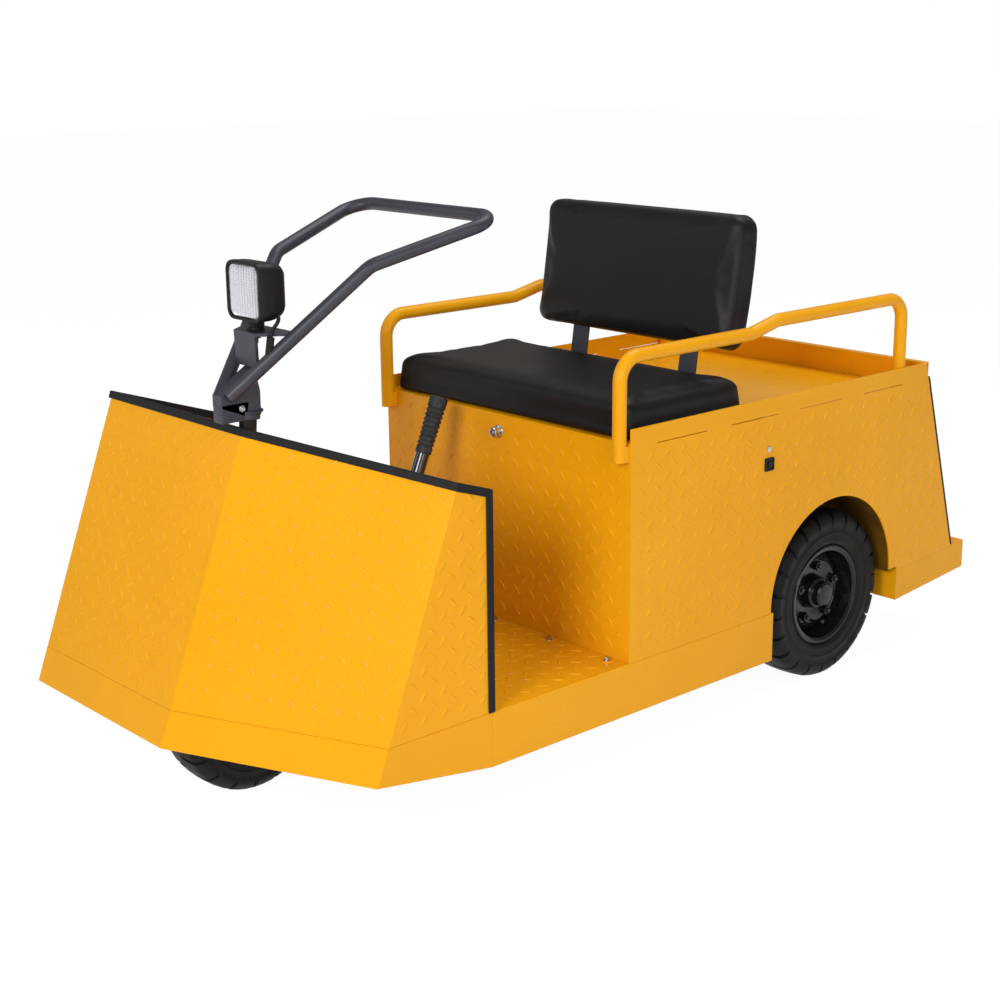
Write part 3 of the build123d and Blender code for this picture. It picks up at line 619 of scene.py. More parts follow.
def reflector():
    """Bright pressed reflector behind the lens."""
    f = Finish("reflector", (0.8, 0.8, 0.82), 0.22, 1)
    f.matte(f.noise(90, 2), 0.1, 0.16)
    return f


def plated():
    """Bright zinc-plated steel."""
    f = Finish("plated steel", (0.62, 0.63, 0.66), 0.28, 1)
    f.matte(f.noise(160, 4), 0.2, 0.18)
    f.tint(f.ramp(f.noise(90, 4), 0.4, 0.7), (0.5, 0.51, 0.53), (0.7, 0.71, 0.73))
    return f


def axle_steel():
    """Machined steel with an oily film."""
    f = Finish("axle steel", (0.28, 0.28, 0.29), 0.35, 1)
    f.matte(f.noise(120, 5), 0.3, 0.22)
    return f


def battery_case():
    """Dark moulded battery case."""
    f = Finish("battery case", (0.02, 0.021, 0.024), 0.5)
    f.matte(f.noise(35, 4), 0.2, 0.4)
    return f


MAKERS = {maker.__name__: maker for maker in (
    enamel, arch_enamel_painted_shade, slate, chassis, gloss_black, vinyl, rubber, grip, tyre_rubber, lamp_black,
    lamp_glass, frosted_bulb, rim_black, reflector, plated, axle_steel, battery_case,
)}


# Operators
def operator(cls):
    """Keeps an operator's class for register() and main(), in the order in which they are written."""
    CLASSES.append(cls)
    return cls


@operator
class TUG_OT_stage(bpy.types.Operator):
    """Set up the camera, the pale floor and the soft lights"""

    bl_idname = "tug.stage"
    bl_label = "Stage"

    def execute(self, context):
        camera = linked("camera", bpy.data.cameras.new("camera"))
        az, el, roll = 0.83299, 0.26642, -0.00797
        back = Vector((sin(az) * cos(el), -cos(az) * cos(el), sin(el)))
        right = Vector((cos(az), sin(az), 0))
        up = back.cross(right)
        across, over = right * cos(roll) + up * sin(roll), up * cos(roll) - right * sin(roll)
        camera.matrix_world = standing(across, over, back, (2.5424, -2.4128, 1.3652))
        settle(camera.data, sensor_width=36, lens=61.456, shift_x=-0.01624, shift_y=-0.00412, clip_end=60)
        context.scene.camera = camera

        # the floor shines white where it is seen, and takes shadows from the lights
        floor = start("floor", "grid", x_subdivisions=2, y_subdivisions=2, size=40)
        f = Finish("studio floor", looks().floor, 0.9)
        seen = f.seen_by("Camera", "Glossy", "Transmission")
        white = f.add("Emission", {}, Color=(1, 1, 1), Strength=1.07)
        mixed = f.add("MixShader", {}, seen * 0.9, Wire(f, f.shader.outputs[0]), white)
        f.feed(f.nodes["Material Output"].inputs[0], mixed)
        paint(floor, f)

        # the world is white where it is seen, and dimmer as a light
        world = bpy.data.worlds.new("studio")
        context.scene.world = world
        world.use_nodes = True
        sky = Tree(world.node_tree)
        sky.feed(sky.nodes["Background"].inputs[0], (1, 1, 1))
        strength = sky.add("MapRange", {}, sky.seen_by("Camera", "Transmission"), 0, 1, 0.29, 1)
        sky.feed(sky.nodes["Background"].inputs[1], strength)

        # name, place, aimed at, size, watts
        for name, place, aim, size, watts in (
            ("key", (1.75, -4.1, 2.2), (0.1, -0.5, 0.4), 1.4, 95),
            ("front_left", (-2.6, -3.2, 2.4), (-0.1, -0.6, 0.4), 2, 17),
            ("side", (3.9, -1.3, 1.9), (0.2, 0, 0.4), 2, 47),
            ("top", (0.2, 1.2, 4.2), (0, 0.2, 0.6), 2.6, 78),
        ):
            light = bpy.data.lights.new(name, "AREA")
            settle(light, shape="SQUARE", size=size, energy=watts)
            lamp = linked(name, light)
            lamp.location = place
            lamp.rotation_euler = (Vector(aim) - Vector(place)).to_track_quat("-Z", "Y").to_euler()
        context.scene.view_settings.view_transform = "Standard"
        return {"FINISHED"}


# CAD nodes that keep their shape, by finish
KEPT = dict(
    enamel="floor_plate rear_panel top_tray",
    # the left wheel arch gets the enamel darkened as painted shade
    arch_enamel_painted_shade="wheel_arch_left",
    chassis="chassis_frame steering_fork steering_head rear_axle drive_unit tow_hitch",
    slate="tiller_loop tiller_foot",
    battery_case="battery_block",
)
# CAD nodes whose edges are rounded on a copy: finish, rounding in metres, nodes
SOFTENED = (
    ("enamel", 0.003, "shield"),
    ("enamel", 0.0022, "nose_sill"),
    ("enamel", 0.0018, "sill_left sill_right rear_bumper"),
    ("enamel", 0.0014, "fender_right"),
    ("enamel", 0.0012, "side_panel_left side_panel_right"),
    ("enamel", 0.001, "seat_box_front"),
    ("enamel", 0.0008, "grab_rail_left grab_rail_right"),
    ("rubber", 0.0026, "shield_trim"),
    ("rubber", 0.0014, "rear_trim_left rear_trim_right"),
    ("slate", 0.001, "seatback_bracket_left seatback_bracket_right"),
    ("slate", 0.0008, "lamp_bracket"),
)


def body_of(node):
    """The body that a CAD node rides on."""
    for body, members in frame["record"]["behaviour"]["bodies"].items():
        if node in members:
            return body
    raise RuntimeError("no body holds the node " + node)


def square_off(piece, box):
    """Narrows a side panel's bend slots and fills its front top corner up to the rail's foot."""
    (_, front, _), (_, _, top) = box
    slot = top - 0.036
    for vertex in piece.data.vertices:
        if abs(vertex.co.z - slot) < 0.0025:
            vertex.co.z = slot + (vertex.co.z - slot) * 0.4
        elif vertex.co.y < front + 0.0005 and top - 0.035 < vertex.co.z < top:
            vertex.co.z = top


@operator
class TUG_OT_sheet_metal(bpy.types.Operator):
    """Paint the frame and sheet metal, with the pressed edges rounded"""

    bl_idname = "tug.sheet_metal"
    bl_label = "Sheet metal"

    def execute(self, context):
        for name, nodes in KEPT.items():
            for node in nodes.split():
                paint(NODES[node], finish(name))
        for name, width, nodes in SOFTENED:
            for node in nodes.split():
                piece = copy_node(node, node + "_edged")
                if node.startswith("side_panel"):
                    square_off(piece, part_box(node))
                edges = dict(limit_method="ANGLE", angle_limit=radians(12), harden_normals=False)
                modify(piece, "BEVEL", width=width, segments=3, **edges)
                smooth(piece, 32)
                modify(piece, "WEIGHTED_NORMAL", weight=100, keep_sharp=True)
                dress(piece, name, None, body=body_of(node), node=node)
        return {"FINISHED"}


@operator
class TUG_OT_tread_plate(bpy.types.Operator):
    """Raise the lozenges of the tread plate on the shield, the seat box, the side panels and the floor"""

    bl_idname = "tug.tread_plate"
    bl_label = "Tread plate"

    def execute(self, context):
        (_, fold_y, deck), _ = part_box("shield")
        left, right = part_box("side_panel_left")[1][0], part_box("side_panel_right")[0][0]
        box_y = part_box("seat_box_front")[0][1]
        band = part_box("side_panel_left")[1][2] - 0.052
        socket = Vector((left, *SOCKET_PLACE))
        lock = Vector((LOCK_PLACE[0], box_y, LOCK_PLACE[1]))
        low, side_row = deck + 0.03, (box_y + 0.008, deck + 0.046)

        def clear_of(spot, radius, top=2):
            return lambda p: (p - spot).length > radius and p.z < top

        # name, node, facing, a point of the grid, which way the lozenge there leans, what to keep
        for name, node, normal, anchor, lean, keep in (
            ("front", "shield", (0, -1, 0.376), (0, fold_y, low), -1, None),
            ("bevel", "shield", (0.387, -0.877, 0.33), (0.028, fold_y, low), 1, None),
            ("shield_left", "shield", (1, 0, 0), (left, -0.62, low), 1, None),
            ("shield_right", "shield", (-1, 0, 0), (-left, -0.62, low), 1, None),
            ("seat_box", "seat_box_front", (0, -1, 0), (-0.283, box_y, low), -1, clear_of(lock, 0.022)),
            ("side_left", "side_panel_left", (1, 0, 0), (left, *side_row), 1, clear_of(socket, 0.03, band)),
            ("side_right", "side_panel_right", (-1, 0, 0), (right, *side_row), 1, lambda p: p.z < band),
            ("floor", "floor_plate", (0, 0, 1), (0, box_y - 0.022, deck), 1,
             lambda p: p.y < box_y - 0.02 or p.x < right - 0.02),
        ):
            piece = tread("tread_" + name, node, Vector(normal), Vector(anchor), lean, keep)
            dress(piece, "enamel", "yellow_paint")
        return {"FINISHED"}


def tread(name, node, normal, anchor, lean, keep):
    """The crossing lozenges of a CAD node's flat face, at 45 degrees on a square grid through the anchor."""
    room, height, sunk = sizes().tread_length / 2, sizes().tread_height, 0.0003
    mesh = NODES[node].data
    faces = [f for f in mesh.polygons if f.normal.dot(normal.normalized()) > 0.995]
    normal = faces[0].normal.copy()
    along = Vector((0, 0, 1)).cross(normal) if abs(normal.z) < 0.9 else Vector((1, 0, 0))
    along.normalize()
    rise = normal.cross(along)
    flat = [mesh.vertices[i].co - anchor for f in faces for i in f.vertices]
    lift = max(p.dot(normal) for p in flat)
    flat = [p for p in flat if p.dot(normal) > lift - 0.001]
    spans = [(min(p.dot(a) for p in flat), max(p.dot(a) for p in flat)) for a in (along, rise)]
    pitch = sizes().tread_pitch * 2**0.5
    first = [pitch * int(low / pitch - 1) for low, _ in spans]
    counts = [int((high - start_at) / pitch) + 1 for (_, high), start_at in zip(spans, first)]
    face = standing(along, rise, normal, anchor + normal * lift)
    tree = BVHTree.FromPolygons([v.co for v in mesh.vertices], [tuple(f.vertices) for f in mesh.polygons])

    def stands(x, y):
        for dx, dy in ((0, 0), (room, 0), (-room, 0), (0, room), (0, -room)):
            point = face @ Vector((x + dx, y + dy, 0.01))
            hit = tree.ray_cast(point, -normal, 0.011)
            if hit[0] is None or hit[1].dot(normal) < 0.99:
                return False
        return keep is None or keep(face @ Vector((x, y, 0)))

    lays = []
    for side, offset in ((lean, 0), (-lean, pitch / 2)):
        lozenge = start(name, "circle", vertices=8, radius=1, fill_type="NGON")
        for vertex, (a, b) in zip(lozenge.data.vertices, LOZENGE):
            a *= sizes().tread_length / 2 * 0.5**0.5
            b *= sizes().tread_width / 2 * 0.5**0.5
            vertex.co = (a - b * side, a * side + b, -sunk)
        extrude_up(lozenge, ((sunk + 0.45 * height, 0.93), (0.55 * height, 0.58)))
        size = len(lozenge.data.vertices)
        lozenge.data.transform(Matrix.Translation((first[0] + offset, first[1] + offset, 0)))
        for count, step in ((counts[0], (pitch, 0, 0)), (counts[1], (0, pitch, 0))):
            row(lozenge, count, step)
        gone = []
        for j in range(counts[1]):
            for i in range(counts[0]):
                gone += [not stands(first[0] + offset + i * pitch, first[1] + offset + j * pitch)] * size
        lays.append(drop(lozenge, gone))
    piece = join(name, lays)
    piece.data.transform(face)
    return smooth(outward(piece), 20)


def tyre_outline(radius, width, seat):
    """Half of a tyre's section from crown to bead: (across, radius, how deep a groove may be there)."""
    half, wall = width / 2, radius - seat
    # share of the half width, drop from the crown in metres, groove
    crown = (
        (0, 0, 0), (0.1, 0, 0), (0.14, 0.0002, 1), (0.45, 0.0008, 1), (0.7, 0.0024, 1), (0.84, 0.0062, 1),
        (0.93, 0.0125, 0.9),
    )
    # share of the half width, drop as a share of the wall, groove
    side = (
        (0.98, 0.215, 0.75), (1, 0.3, 0.6), (1, 0.36, 0.45), (0.985, 0.375, 0), (0.985, 0.56, 0),
        (1, 0.575, 0), (0.995, 0.605, 0), (0.97, 0.62, 0), (0.945, 0.76, 0), (0.95, 0.775, 0),
        (0.935, 0.8, 0), (0.89, 0.87, 0), (0.83, 0.905, 0), (0.8, 0.92, 0),
    )
    outline = [(share * half, radius - fall, groove) for share, fall, groove in crown]
    outline += [(share * half, radius - fall * wall, groove) for share, fall, groove in side]
    return outline + [(0.8 * half, seat + 0.0004, 0)]


def tyre(name, centre, radius, width, seat, lugs):
    """A solid-looking tug tyre whose lugs run from the crown down the shoulders, staggered left to right."""
    half = tyre_outline(radius, width, seat)
    section = [(-a, r, d, 0) for a, r, d in reversed(half)] + [(a, r, d, 0.5) for a, r, d in half[1:]]
    columns = [0, 0.03, 0.14, 0.17, 0.34, 0.5, 0.53, 0.64, 0.67, 0.84, 1]
    patch = start(name, "grid", x_subdivisions=len(section) - 1, y_subdivisions=len(columns) - 1, size=1)
    across = sorted({round(v.co.x, 5) for v in patch.data.vertices})
    around_it = sorted({round(v.co.y, 5) for v in patch.data.vertices})
    deep = 0.045 * radius
    for vertex in patch.data.vertices:
        a, r, depth, phase = section[across.index(round(vertex.co.x, 5))]
        column = columns[around_it.index(round(vertex.co.y, 5))]
        lean = 0.22 * (abs(a) / (width / 2)) ** 1.4
        angle = (column + lean) * 2 * pi / lugs
        if 0.02 < (column - phase) % 1 < 0.15:
            r -= deep * depth
            a *= 1 - 0.055 * depth * (abs(a) > 0.9 * width / 2)
        vertex.co = (a, -r * sin(angle), r * cos(angle))
    ring(patch, lugs, "X")
    with editing(patch):
        bpy.ops.mesh.remove_doubles(threshold=0.00005)
        bpy.ops.mesh.select_all(action="DESELECT")
        bpy.ops.mesh.select_non_manifold(extend=False)
        bpy.ops.mesh.bridge_edge_loops()
    patch.data.transform(Matrix.Translation(centre))
    return smooth(outward(patch), 38)


def rim(name, centre, side, width, seat, bore, face, hub_face, hub_radius, nut_circle):
    """A pressed rim: flanged barrel, dished disc with nuts, hub and dust cap, facing side (1 or -1)."""
    h = 0.4 * width
    # the flange from its inner side over the lip and back, as (past the half width, past the seat)
    lip = (
        (-0.014, -0.0035), (-0.0015, 0.0005), (0.001, 0.0055), (0.0035, 0.0062), (0.0052, 0.004),
        (0.0048, -0.0015), (0.0015, -0.0058), (-0.013, -0.0078),
    )
    near = [(h + x, seat + r) for x, r in lip]
    far = [(-x, r) for x, r in reversed(near)]
    well = [(-0.3 * h, seat - 0.012), (0.25 * h, seat - 0.012)]
    inside = [(0.27 * h, seat - 0.0165), (-0.32 * h, seat - 0.0165)]
    barrel = far[5:] + well + near + inside + far[:6]
    # the disc and the hub's cap, as (out from their face, radius)
    disc = (
        (-0.016, seat - 0.014), (-0.004, seat - 0.018), (0.001, seat - 0.027), (-0.001, nut_circle + 0.014),
        (0.003, nut_circle + 0.009), (0.003, nut_circle - 0.01), (-0.001, hub_radius + 0.006),
        (-0.001, bore + 0.001), (-0.007, bore + 0.001), (-0.007, nut_circle + 0.01), (-0.007, seat - 0.028),
        (-0.011, seat - 0.023), (-0.02, seat - 0.019), (-0.016, seat - 0.014),
    )
    cover = (
        (-0.006, hub_radius - 0.001), (-0.002, hub_radius - 0.0035), (0, hub_radius - 0.008),
        (0.002, 0.75 * hub_radius), (0.013, 0.72 * hub_radius), (0.0165, 0.62 * hub_radius),
        (0.018, 0.3 * hub_radius), (0.018, 0),
    )
    hub = [(face - 0.03, bore + 0.001), (face - 0.03, hub_radius - 0.004), (face + 0.002, hub_radius)]
    hub += [(hub_face + x, r) for x, r in cover]
    turned = ((barrel, 72), ([(face + x, r) for x, r in disc], 72), (hub, 48))
    parts = [lathe(name, points, steps) for points, steps in turned]
    nut = bolt(name, (face + 0.002, 0, nut_circle), (1, 0, 0), 0.019, 0.01)
    stud_end = ((0.004, 0), (0.004, 0.0052), (0.0165, 0.0052), (0.0175, 0.0042), (0.0175, 0))
    stud = lathe(name, [(face + x, r) for x, r in stud_end], 16)
    stud.data.transform(Matrix.Translation((0, 0, nut_circle)))
    parts.append(ring(join(name, [nut, stud]), WHEEL_NUTS, "X"))
    bends = ((0.001, 0.034), (0.01, 0.036), (0.02, 0.041))
    stem = tube(name, [(face + x, 0, z - seat) for x, z in bends], 0.0035)
    cap = lathe(name, [(0, 0), (0, 0.0048), (0.01, 0.0048), (0.012, 0.0036), (0.012, 0)], 14)
    cap.data.transform(Matrix.Translation((face + 0.017, 0, 0.0405 - seat)))
    piece = join(name, parts + [stem, cap])
    turn = Matrix.Rotation(0 if side > 0 else pi, 4, "Z")
    piece.data.transform(Matrix.Translation(centre) @ turn)
    return smooth(piece, 34)


@operator
class TUG_OT_wheels(bpy.types.Operator):
    """Make the three tyres with their lugs, and the black rims with nuts, hubs and valves"""

    bl_idname = "tug.wheels"
    bl_label = "Wheels"

    def execute(self, context):
        # bore, face, hub's face, hub's radius, circle of the nuts
        rear = (0.015, 0.0175, 0.034, 0.036, 0.06)
        front = (0.01, 0.016, 0.026, 0.027, 0.047)
        # wheel, side of its disc, lugs fewer than at the rear, sizes of its rim
        wheels = (("rear_left", 1, 0, rear), ("rear_right", -1, 0, rear), ("front", 1, 4, front))
        for name, side, fewer, rim_sizes in wheels:
            low, high = corners("tyre_" + name)
            centre, radius, width = (low + high) / 2, (high.z - low.z) / 2, high.x - low.x
            rim_low, rim_high = corners("rim_" + name)
            seat = (rim_high.z - rim_low.z) / 2
            piece = tyre("tyre_with_lugs_" + name, centre, radius, width, seat, sizes().lugs - fewer)
            dress(piece, "tyre_rubber", "tyre", body=name + "_wheel", node="tyre_" + name)
            piece = rim("pressed_rim_" + name, centre, side, width, seat, *rim_sizes)
            dress(piece, "rim_black", "rim_paint", body=name + "_wheel", node="rim_" + name)
        return {"FINISHED"}


def padding(node, name, lean, grow, cap, voxel, pinned):
    """A stuffed pad from a CAD node: a copy grown on each axis, remeshed and blown up as cloth."""
    piece = copy_node(node, name)
    low, high = corners(node)
    upright = Matrix.Rotation(radians(lean), 4, "X") @ Matrix.Translation((low + high) / -2)
    piece.data.transform(upright)
    half = Vector([max(abs(v.co[i]) for v in piece.data.vertices) for i in range(3)])
    piece.data.transform(Matrix.Diagonal((*[(h + g) / h for h, g in zip(half, grow)], 1)))
    modify(piece, "REMESH", mode="VOXEL", voxel_size=voxel)
    modify(piece, "SMOOTH", factor=0.5, iterations=6)
    held = piece.vertex_groups.new(name="held")
    for vertex in piece.data.vertices:
        if vertex.co[pinned] * (1 if pinned == 1 else -1) > half[pinned] + grow[pinned] - 0.004:
            held.add([vertex.index], 1, "REPLACE")
    before = [vertex.co.copy() for vertex in piece.data.vertices]
    take(piece)
    cloth = piece.modifiers.new("Cloth", "CLOTH")
    settle(cloth.settings, use_pressure=True, uniform_pressure_force=4, vertex_group_mass="held")
    settle(cloth.settings, tension_stiffness=40, compression_stiffness=40, bending_stiffness=2)
    cloth.settings.effector_weights.gravity = 0
    settle(cloth.point_cache, frame_start=1, frame_end=CLOTH_FRAMES)
    for number in range(1, CLOTH_FRAMES + 1):
        bpy.context.scene.frame_set(number)
    bpy.ops.object.modifier_apply(modifier=cloth.name)
    bpy.context.scene.frame_set(1)
    for vertex, was in zip(piece.data.vertices, before):
        moved = vertex.co - was
        if moved.length > cap:
            vertex.co = was + moved * (cap / moved.length)
    piece.vertex_groups.clear()
    modify(piece, "SMOOTH", factor=0.5, iterations=3)
    modify(piece, "SUBSURF", levels=1, render_levels=1)
    piece.data.transform(upright.inverted())
    dress(piece, "vinyl", "seat_vinyl", 60, node=node)


@operator
class TUG_OT_seat(bpy.types.Operator):
    """Upholster the cushion and the seatback in black vinyl"""

    bl_idname = "tug.seat"
    bl_label = "Seat"

    def execute(self, context):
        padding("seat_cushion", "cushion_padded", 0, (-0.003, -0.003, -0.001), 0.0065, 0.0065, 2)
        padding("seatback", "seatback_padded", 8.5, (0, -0.003, 0.008), 0.006, 0.0058, 1)
        return {"FINISHED"}


@operator
class TUG_OT_lamp(bpy.types.Operator):
    """Make the headlamp's bowl, reflector, bulb and ribbed lens, and its swivel"""

    bl_idname = "tug.lamp"
    bl_label = "Headlamp"

    def execute(self, context):
        low, high = corners("lamp_housing")
        half = (high.x - low.x) / 2
        depth = high.y - low.y
        centre = Vector(((low.x + high.x) / 2, low.y, high.z - half))
        forward = (0, -1, 0)

        def shell(name, share, scale, steps, base, *look, node=None):
            piece = stacked(name, rounded_square(half * share, 0.34), scale, steps, base)
            dress(place_piece(piece, centre, forward), *look, "steering", node)

        # steps along the lamp's axis: distance behind its front, share of the outline
        back = ((0.002, 0.62), (0.006, 0.73), (0.012, 0.83), (0.02, 0.905), (0.03, 0.955), (0.04, 0.98))
        steps = [(z - depth, share) for z, share in back] + [
            (-0.014, 0.99), (-0.0135, 1), (-0.004, 1), (-0.0012, 0.985), (0, 0.955), (0, 0.915),
            (-0.0015, 0.895), (-0.004, 0.885), (-0.033, 0.875),
        ]
        shell("lamp_bowl", 1, 0.5, steps, -depth, "lamp_black", "lamp_plastic", 28, node="lamp_housing")
        shell("lamp_reflector", 0.865, 1, [
            (-0.0105, 0.94), (-0.016, 0.84), (-0.0215, 0.7), (-0.026, 0.54), (-0.029, 0.38), (-0.0305, 0.2),
            (-0.0315, 0.2), (-0.03, 0.4), (-0.027, 0.56), (-0.0225, 0.72), (-0.017, 0.86), (-0.0115, 0.965),
        ], -0.0075, "reflector", "lamp_plastic", 50)
        bulb = spun("lamp_bulb", [
            (-0.031, 0), (-0.031, 0.006), (-0.022, 0.006), (-0.02, 0.0085), (-0.014, 0.0085), (-0.011, 0.006),
            (-0.01, 0),
        ], 24, centre, forward)
        dress(bulb, "frosted_bulb", "lamp_glass", 50, "steering")
        shell("lamp_lens_domed", 0.872, 1, [
            (-0.0038, 1), (-0.0026, 0.97), (-0.0016, 0.86), (-0.0009, 0.66), (-0.0005, 0.42), (-0.0004, 0.16),
        ], -0.0066, "lamp_glass", "lamp_glass", 50, node="lamp_lens")

        stem = Vector((centre.x, low.y + depth / 2 - 0.01, low.z))
        height = high.z - 2 * half - low.z
        under = stem - Vector((0, 0, 0.006))
        swivel = join("lamp_swivel", [
            spun("lamp_swivel", [
                (0, 0), (0, 0.015), (0.003, 0.0158), (0.005, 0.015), (0.006, 0.012), (0.009, 0.012),
                (0.01, 0.015), (height - 0.002, 0.0165), (height + 0.004, 0.019), (height + 0.006, 0),
            ], 32, stem, (0, 0, 1)),
            bolt("lamp_swivel", stem + Vector((0.015, 0, 0.012)), (1, 0, 0), 0.01, 0.005),
            bolt("lamp_swivel", under, (0, 0, -1), 0.015, 0.008),
            spun("lamp_swivel", [(0, 0), (0, 0.0038), (0.0165, 0.0038), (0.0175, 0.003), (0.0175, 0)],
                 16, under, (0, 0, -1)),
        ])
        dress(swivel, "lamp_black", "lamp_plastic", 35, "steering")
        paint(NODES["lamp_lead"], finish("rubber"))
        return {"FINISHED"}


@operator
class TUG_OT_controls(bpy.types.Operator):
    """Finish the parking lever with its ribbed grip and sleeve, and the two pedals with their pads"""

    bl_idname = "tug.controls"
    bl_label = "Controls"

    def execute(self, context):
        paint(NODES["brake_lever"], finish("gloss_black"))
        low, high = corners("brake_grip")
        lean = Vector((0, 0.3911, 0.9204))
        foot = (low + high) / 2 - lean * 0.06
        ribs = sizes().grip_ribs
        pitch = 0.086 / ribs
        profile = [(0, 0), (0, 0.0145), (0.002, 0.0162), (0.01, 0.0166)]
        for i in range(ribs):
            at, r = 0.014 + i * pitch, 0.0166 + 0.002 * i / ribs
            end = at + 0.34 * pitch
            profile += [(at, r), (at + 0.0012, r - 0.0022), (end, r - 0.0022), (end + 0.0012, r)]
        profile += [(0.104, 0.0186), (0.113, 0.0188), (0.1165, 0.0176), (0.118, 0.015), (0.118, 0)]
        handle = spun("lever_grip_ribbed", profile, 40, foot, lean)
        dress(handle, "grip", "black_rubber", 32, node="brake_grip")
        profile = [(-0.27, 0), (-0.27, 0.012), (-0.268, 0.014), (0.004, 0.014), (0.004, 0)]
        dress(spun("lever_sleeve", profile, 36, foot, lean), "gloss_black", "black_paint", 40)

        across = Vector((1, 0, 0))
        rib_pitch = 0.0115
        for node in ("accelerator_pedal", "brake_pedal"):
            paint(NODES[node], finish("chassis"))
            low, high = corners(node)
            top = Vector((0, low.y + 0.006, high.z))
            heel = Vector((0, high.y, low.z + 0.012))
            normal = (heel - top).normalized().cross(across)
            if normal.z < 0:
                normal.negate()
            width, long = high.x - low.x - 0.008, (heel - top).length - 0.01
            pad = block(node + "_pad", (0, 0, 0.0015), (width, long, 0.005))
            modify(pad, "BEVEL", width=0.0018, segments=2)
            rib = block(node + "_pad", (0, 0.009 - long / 2, 0.0045), (width - 0.01, 0.005, 0.0036))
            modify(rib, "BEVEL", width=0.0012, segments=2)
            row(rib, int(long / rib_pitch), (0, rib_pitch, 0))
            pad = join(node + "_pad", [pad, rib])
            middle = (top + heel + across * (low.x + high.x)) / 2 + normal * 0.001
            pad.data.transform(standing(across, normal.cross(across), normal, middle))
            dress(outward(pad), "rubber", "black_rubber", 30)
        return {"FINISHED"}


def weld(name, centre, axis, radius, thickness=0.0032):
    """A weld bead of overlapping ripples round a tube's foot."""
    count = int(2 * pi * radius / 0.0034)
    ripple = start(name, "ico_sphere", subdivisions=2, radius=thickness, location=(0, radius, 0))
    ripple.scale = (0.72, 1, 0.8)
    ring(apply_place(ripple), count, "Z")
    return smooth(place_piece(ripple, centre, axis), 40)


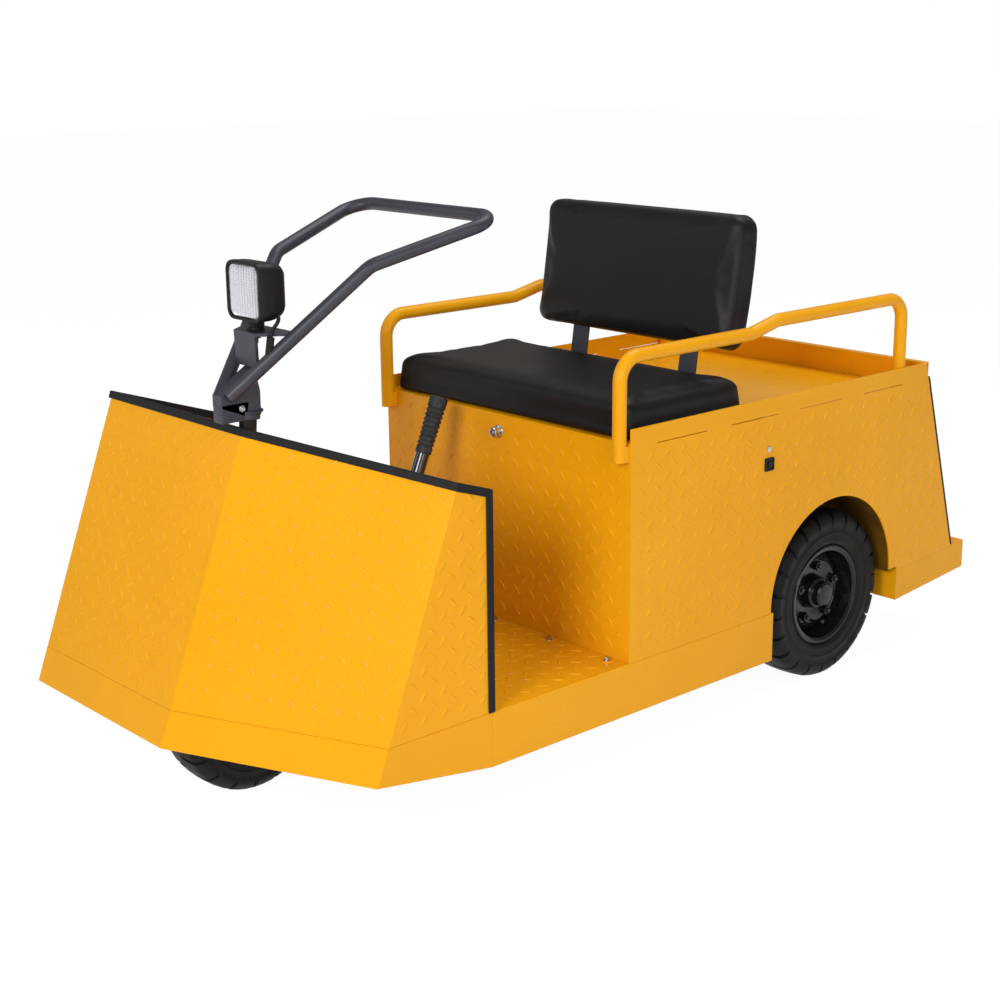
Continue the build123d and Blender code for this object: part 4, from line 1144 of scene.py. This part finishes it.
@operator
class TUG_OT_fittings(bpy.types.Operator):
    """Add the lock, the charging socket, the bolts and the weld beads"""

    bl_idname = "tug.fittings"
    bl_label = "Fittings"

    def execute(self, context):
        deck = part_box("floor_plate")[1][2]
        box_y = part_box("seat_box_front")[0][1]
        left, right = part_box("side_panel_left")[1][0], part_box("side_panel_right")[0][0]
        out_of_side, out_of_box, upwards = (1, 0, 0), (0, -1, 0), (0, 0, 1)

        # the lock and its key slot are made along X
        lock = lathe("box_lock_knob", [
            (0, 0), (0, 0.0125), (0.0015, 0.0132), (0.003, 0.0125), (0.0045, 0.009), (0.007, 0.0085),
            (0.0085, 0.0095), (0.0155, 0.0098), (0.0175, 0.0088), (0.0182, 0.006), (0.0176, 0.0035),
            (0.0176, 0),
        ], 36)
        key_slot = block("box_lock_knob", (0.0178, 0, 0), (0.0012, 0.0016, 0.0062))
        lock = join("box_lock_knob", [lock, key_slot])
        place_piece(lock, (LOCK_PLACE[0], box_y, LOCK_PLACE[1]), out_of_box, (1, 0, 0))
        dress(lock, "plated", "rim_paint", 34)

        # the socket is made along Z
        surround = [(0.003, 1), (0.004, 0.94), (0.004, 0.74), (0.0015, 0.7)]
        surround = stacked("charge_socket", rounded_square(0.0135, 0.22), 1, surround, 0)
        plug = stacked("charge_socket", rounded_square(0.0062, 0.35), 1, [(0.0044, 1), (0.0052, 0.85)], 0.001)
        socket = place_piece(join("charge_socket", [surround, plug]), (left, *SOCKET_PLACE), out_of_side)
        dress(socket, "lamp_black", "lamp_plastic", 30)
        over_socket = (left, SOCKET_PLACE[0] - 0.001, SOCKET_PLACE[1] + 0.032)
        indicator = spun("charge_indicator", [
            (0, 0), (0, 0.0062), (0.0016, 0.0062), (0.0022, 0.0052), (0.0022, 0.0044), (0.0034, 0.0036),
            (0.004, 0),
        ], 28, over_socket, out_of_side)
        dress(indicator, "plated", "rim_paint", 40)

        at_box = [(right + 0.03 + 0.162 * i, box_y - 0.016, deck) for i in range(5)]
        at_nose = [(-0.395 + 0.09 * i, -0.91, deck) for i in range(4)]
        plated_bolts("deck_bolts", at_box + at_nose, upwards, 0.01, 0.0055)
        low, high = corners("tow_hitch")
        pad_y, middle_z = low.y + 0.008, (low.z + high.z) / 2
        plated_bolts("hitch_bolts", [(x, pad_y, middle_z) for x in (-0.026, 0.026)], (0, 1, 0), 0.011, 0.006)
        head_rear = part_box("steering_head")[1][1]
        rows = (head_rear - 0.03, head_rear - 0.01)
        places = [(x, y, deck + 0.008) for x in (-0.045, 0.045) for y in rows]
        plated_bolts("steering_foot_bolts", places, upwards, 0.011, 0.006)
        foot_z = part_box("seat_cushion")[0][2] + 0.008
        places = []
        for node in ("seatback_bracket_left", "seatback_bracket_right"):
            low, high = corners(node)
            places += [(x, low.y + 0.014, foot_z) for x in (low.x + 0.011, high.x - 0.011)]
        plated_bolts("seat_bracket_bolts", places, upwards, 0.01, 0.005)

        tray_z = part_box("rear_panel")[1][2] + 0.004
        beads = []
        for node in ("grab_rail_left", "grab_rail_right"):
            low, high = corners(node)
            beads.append(weld("rail_welds", ((low.x + high.x) / 2, high.y - 0.0135, tray_z), upwards, 0.014))
        dress(join("rail_welds", beads), "enamel", "yellow_paint")

        low, high = corners("tiller_foot")
        bead = weld("tiller_weld", (0, high.y - 0.019, low.z + 0.0135), (0, -0.0802, 0.9968), 0.0225, 0.0026)
        dress(bead, "slate", "slate_paint", body="steering")
        # the web's corners from the front foot to the rear top, as (y, z)
        web_half = 0.0144
        web_corners = ((-0.8146, 0.6955), (-0.8146, 0.73), (-0.764, 0.6955), (-0.756, 0.73))
        web = start("tiller_web", "cube", size=1)
        in_order = sorted(web.data.vertices, key=lambda v: (v.co.x, v.co.y, v.co.z))
        for vertex, (y, z) in zip(in_order, 2 * web_corners):
            vertex.co = (web_half if vertex.co.x > 0 else -web_half, y, z)
        modify(web, "BEVEL", width=0.0012, segments=3)
        dress(web, "slate", "slate_paint", 32, "steering")
        plate = (web_half, low.y + 0.042, low.z + 0.024)
        plated_bolts("tiller_plate_bolt", [plate], out_of_side, 0.008, 0.004, "steering")
        nut_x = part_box("steering_fork")[1][0] - 0.008
        low, high = corners("tyre_front")
        hub_y, hub_z = (low.y + high.y) / 2, (low.z + high.z) / 2
        nuts = [
            bolt("fork_axle_nuts", (side * nut_x, hub_y, hub_z), (side, 0, 0), 0.03, 0.0075, washer=False)
            for side in (-1, 1)
        ]
        dress(join("fork_axle_nuts", nuts), "axle_steel", "black_paint", body="steering")
        return {"FINISHED"}


class TUG_PT_panel(bpy.types.Panel):
    """The tug's pieces and their sizes"""

    bl_label = "Baggage tug"
    bl_idname = "TUG_PT_panel"
    bl_space_type = "VIEW_3D"
    bl_region_type = "UI"
    bl_category = "Tug"

    def draw(self, context):
        for group in (looks(), sizes()):
            for key in group.__annotations__:
                self.layout.prop(group, key)
        for cls in CLASSES:
            self.layout.operator(cls.bl_idname)


def register():
    for cls in (TugLooks, TugSizes, *CLASSES, TUG_PT_panel):
        bpy.utils.register_class(cls)
    bpy.types.Scene.tug_looks = bpy.props.PointerProperty(type=TugLooks)
    bpy.types.Scene.tug_sizes = bpy.props.PointerProperty(type=TugSizes)


def unregister():
    del bpy.types.Scene.tug_sizes
    del bpy.types.Scene.tug_looks
    for cls in (TUG_PT_panel, *reversed(CLASSES), TugSizes, TugLooks):
        bpy.utils.unregister_class(cls)


def main():
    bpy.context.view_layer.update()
    register()
    for cls in CLASSES:
        group, name = cls.bl_idname.split(".")
        getattr(getattr(bpy.ops, group), name)()
    clear()


if __name__ == "__main__":
    main()
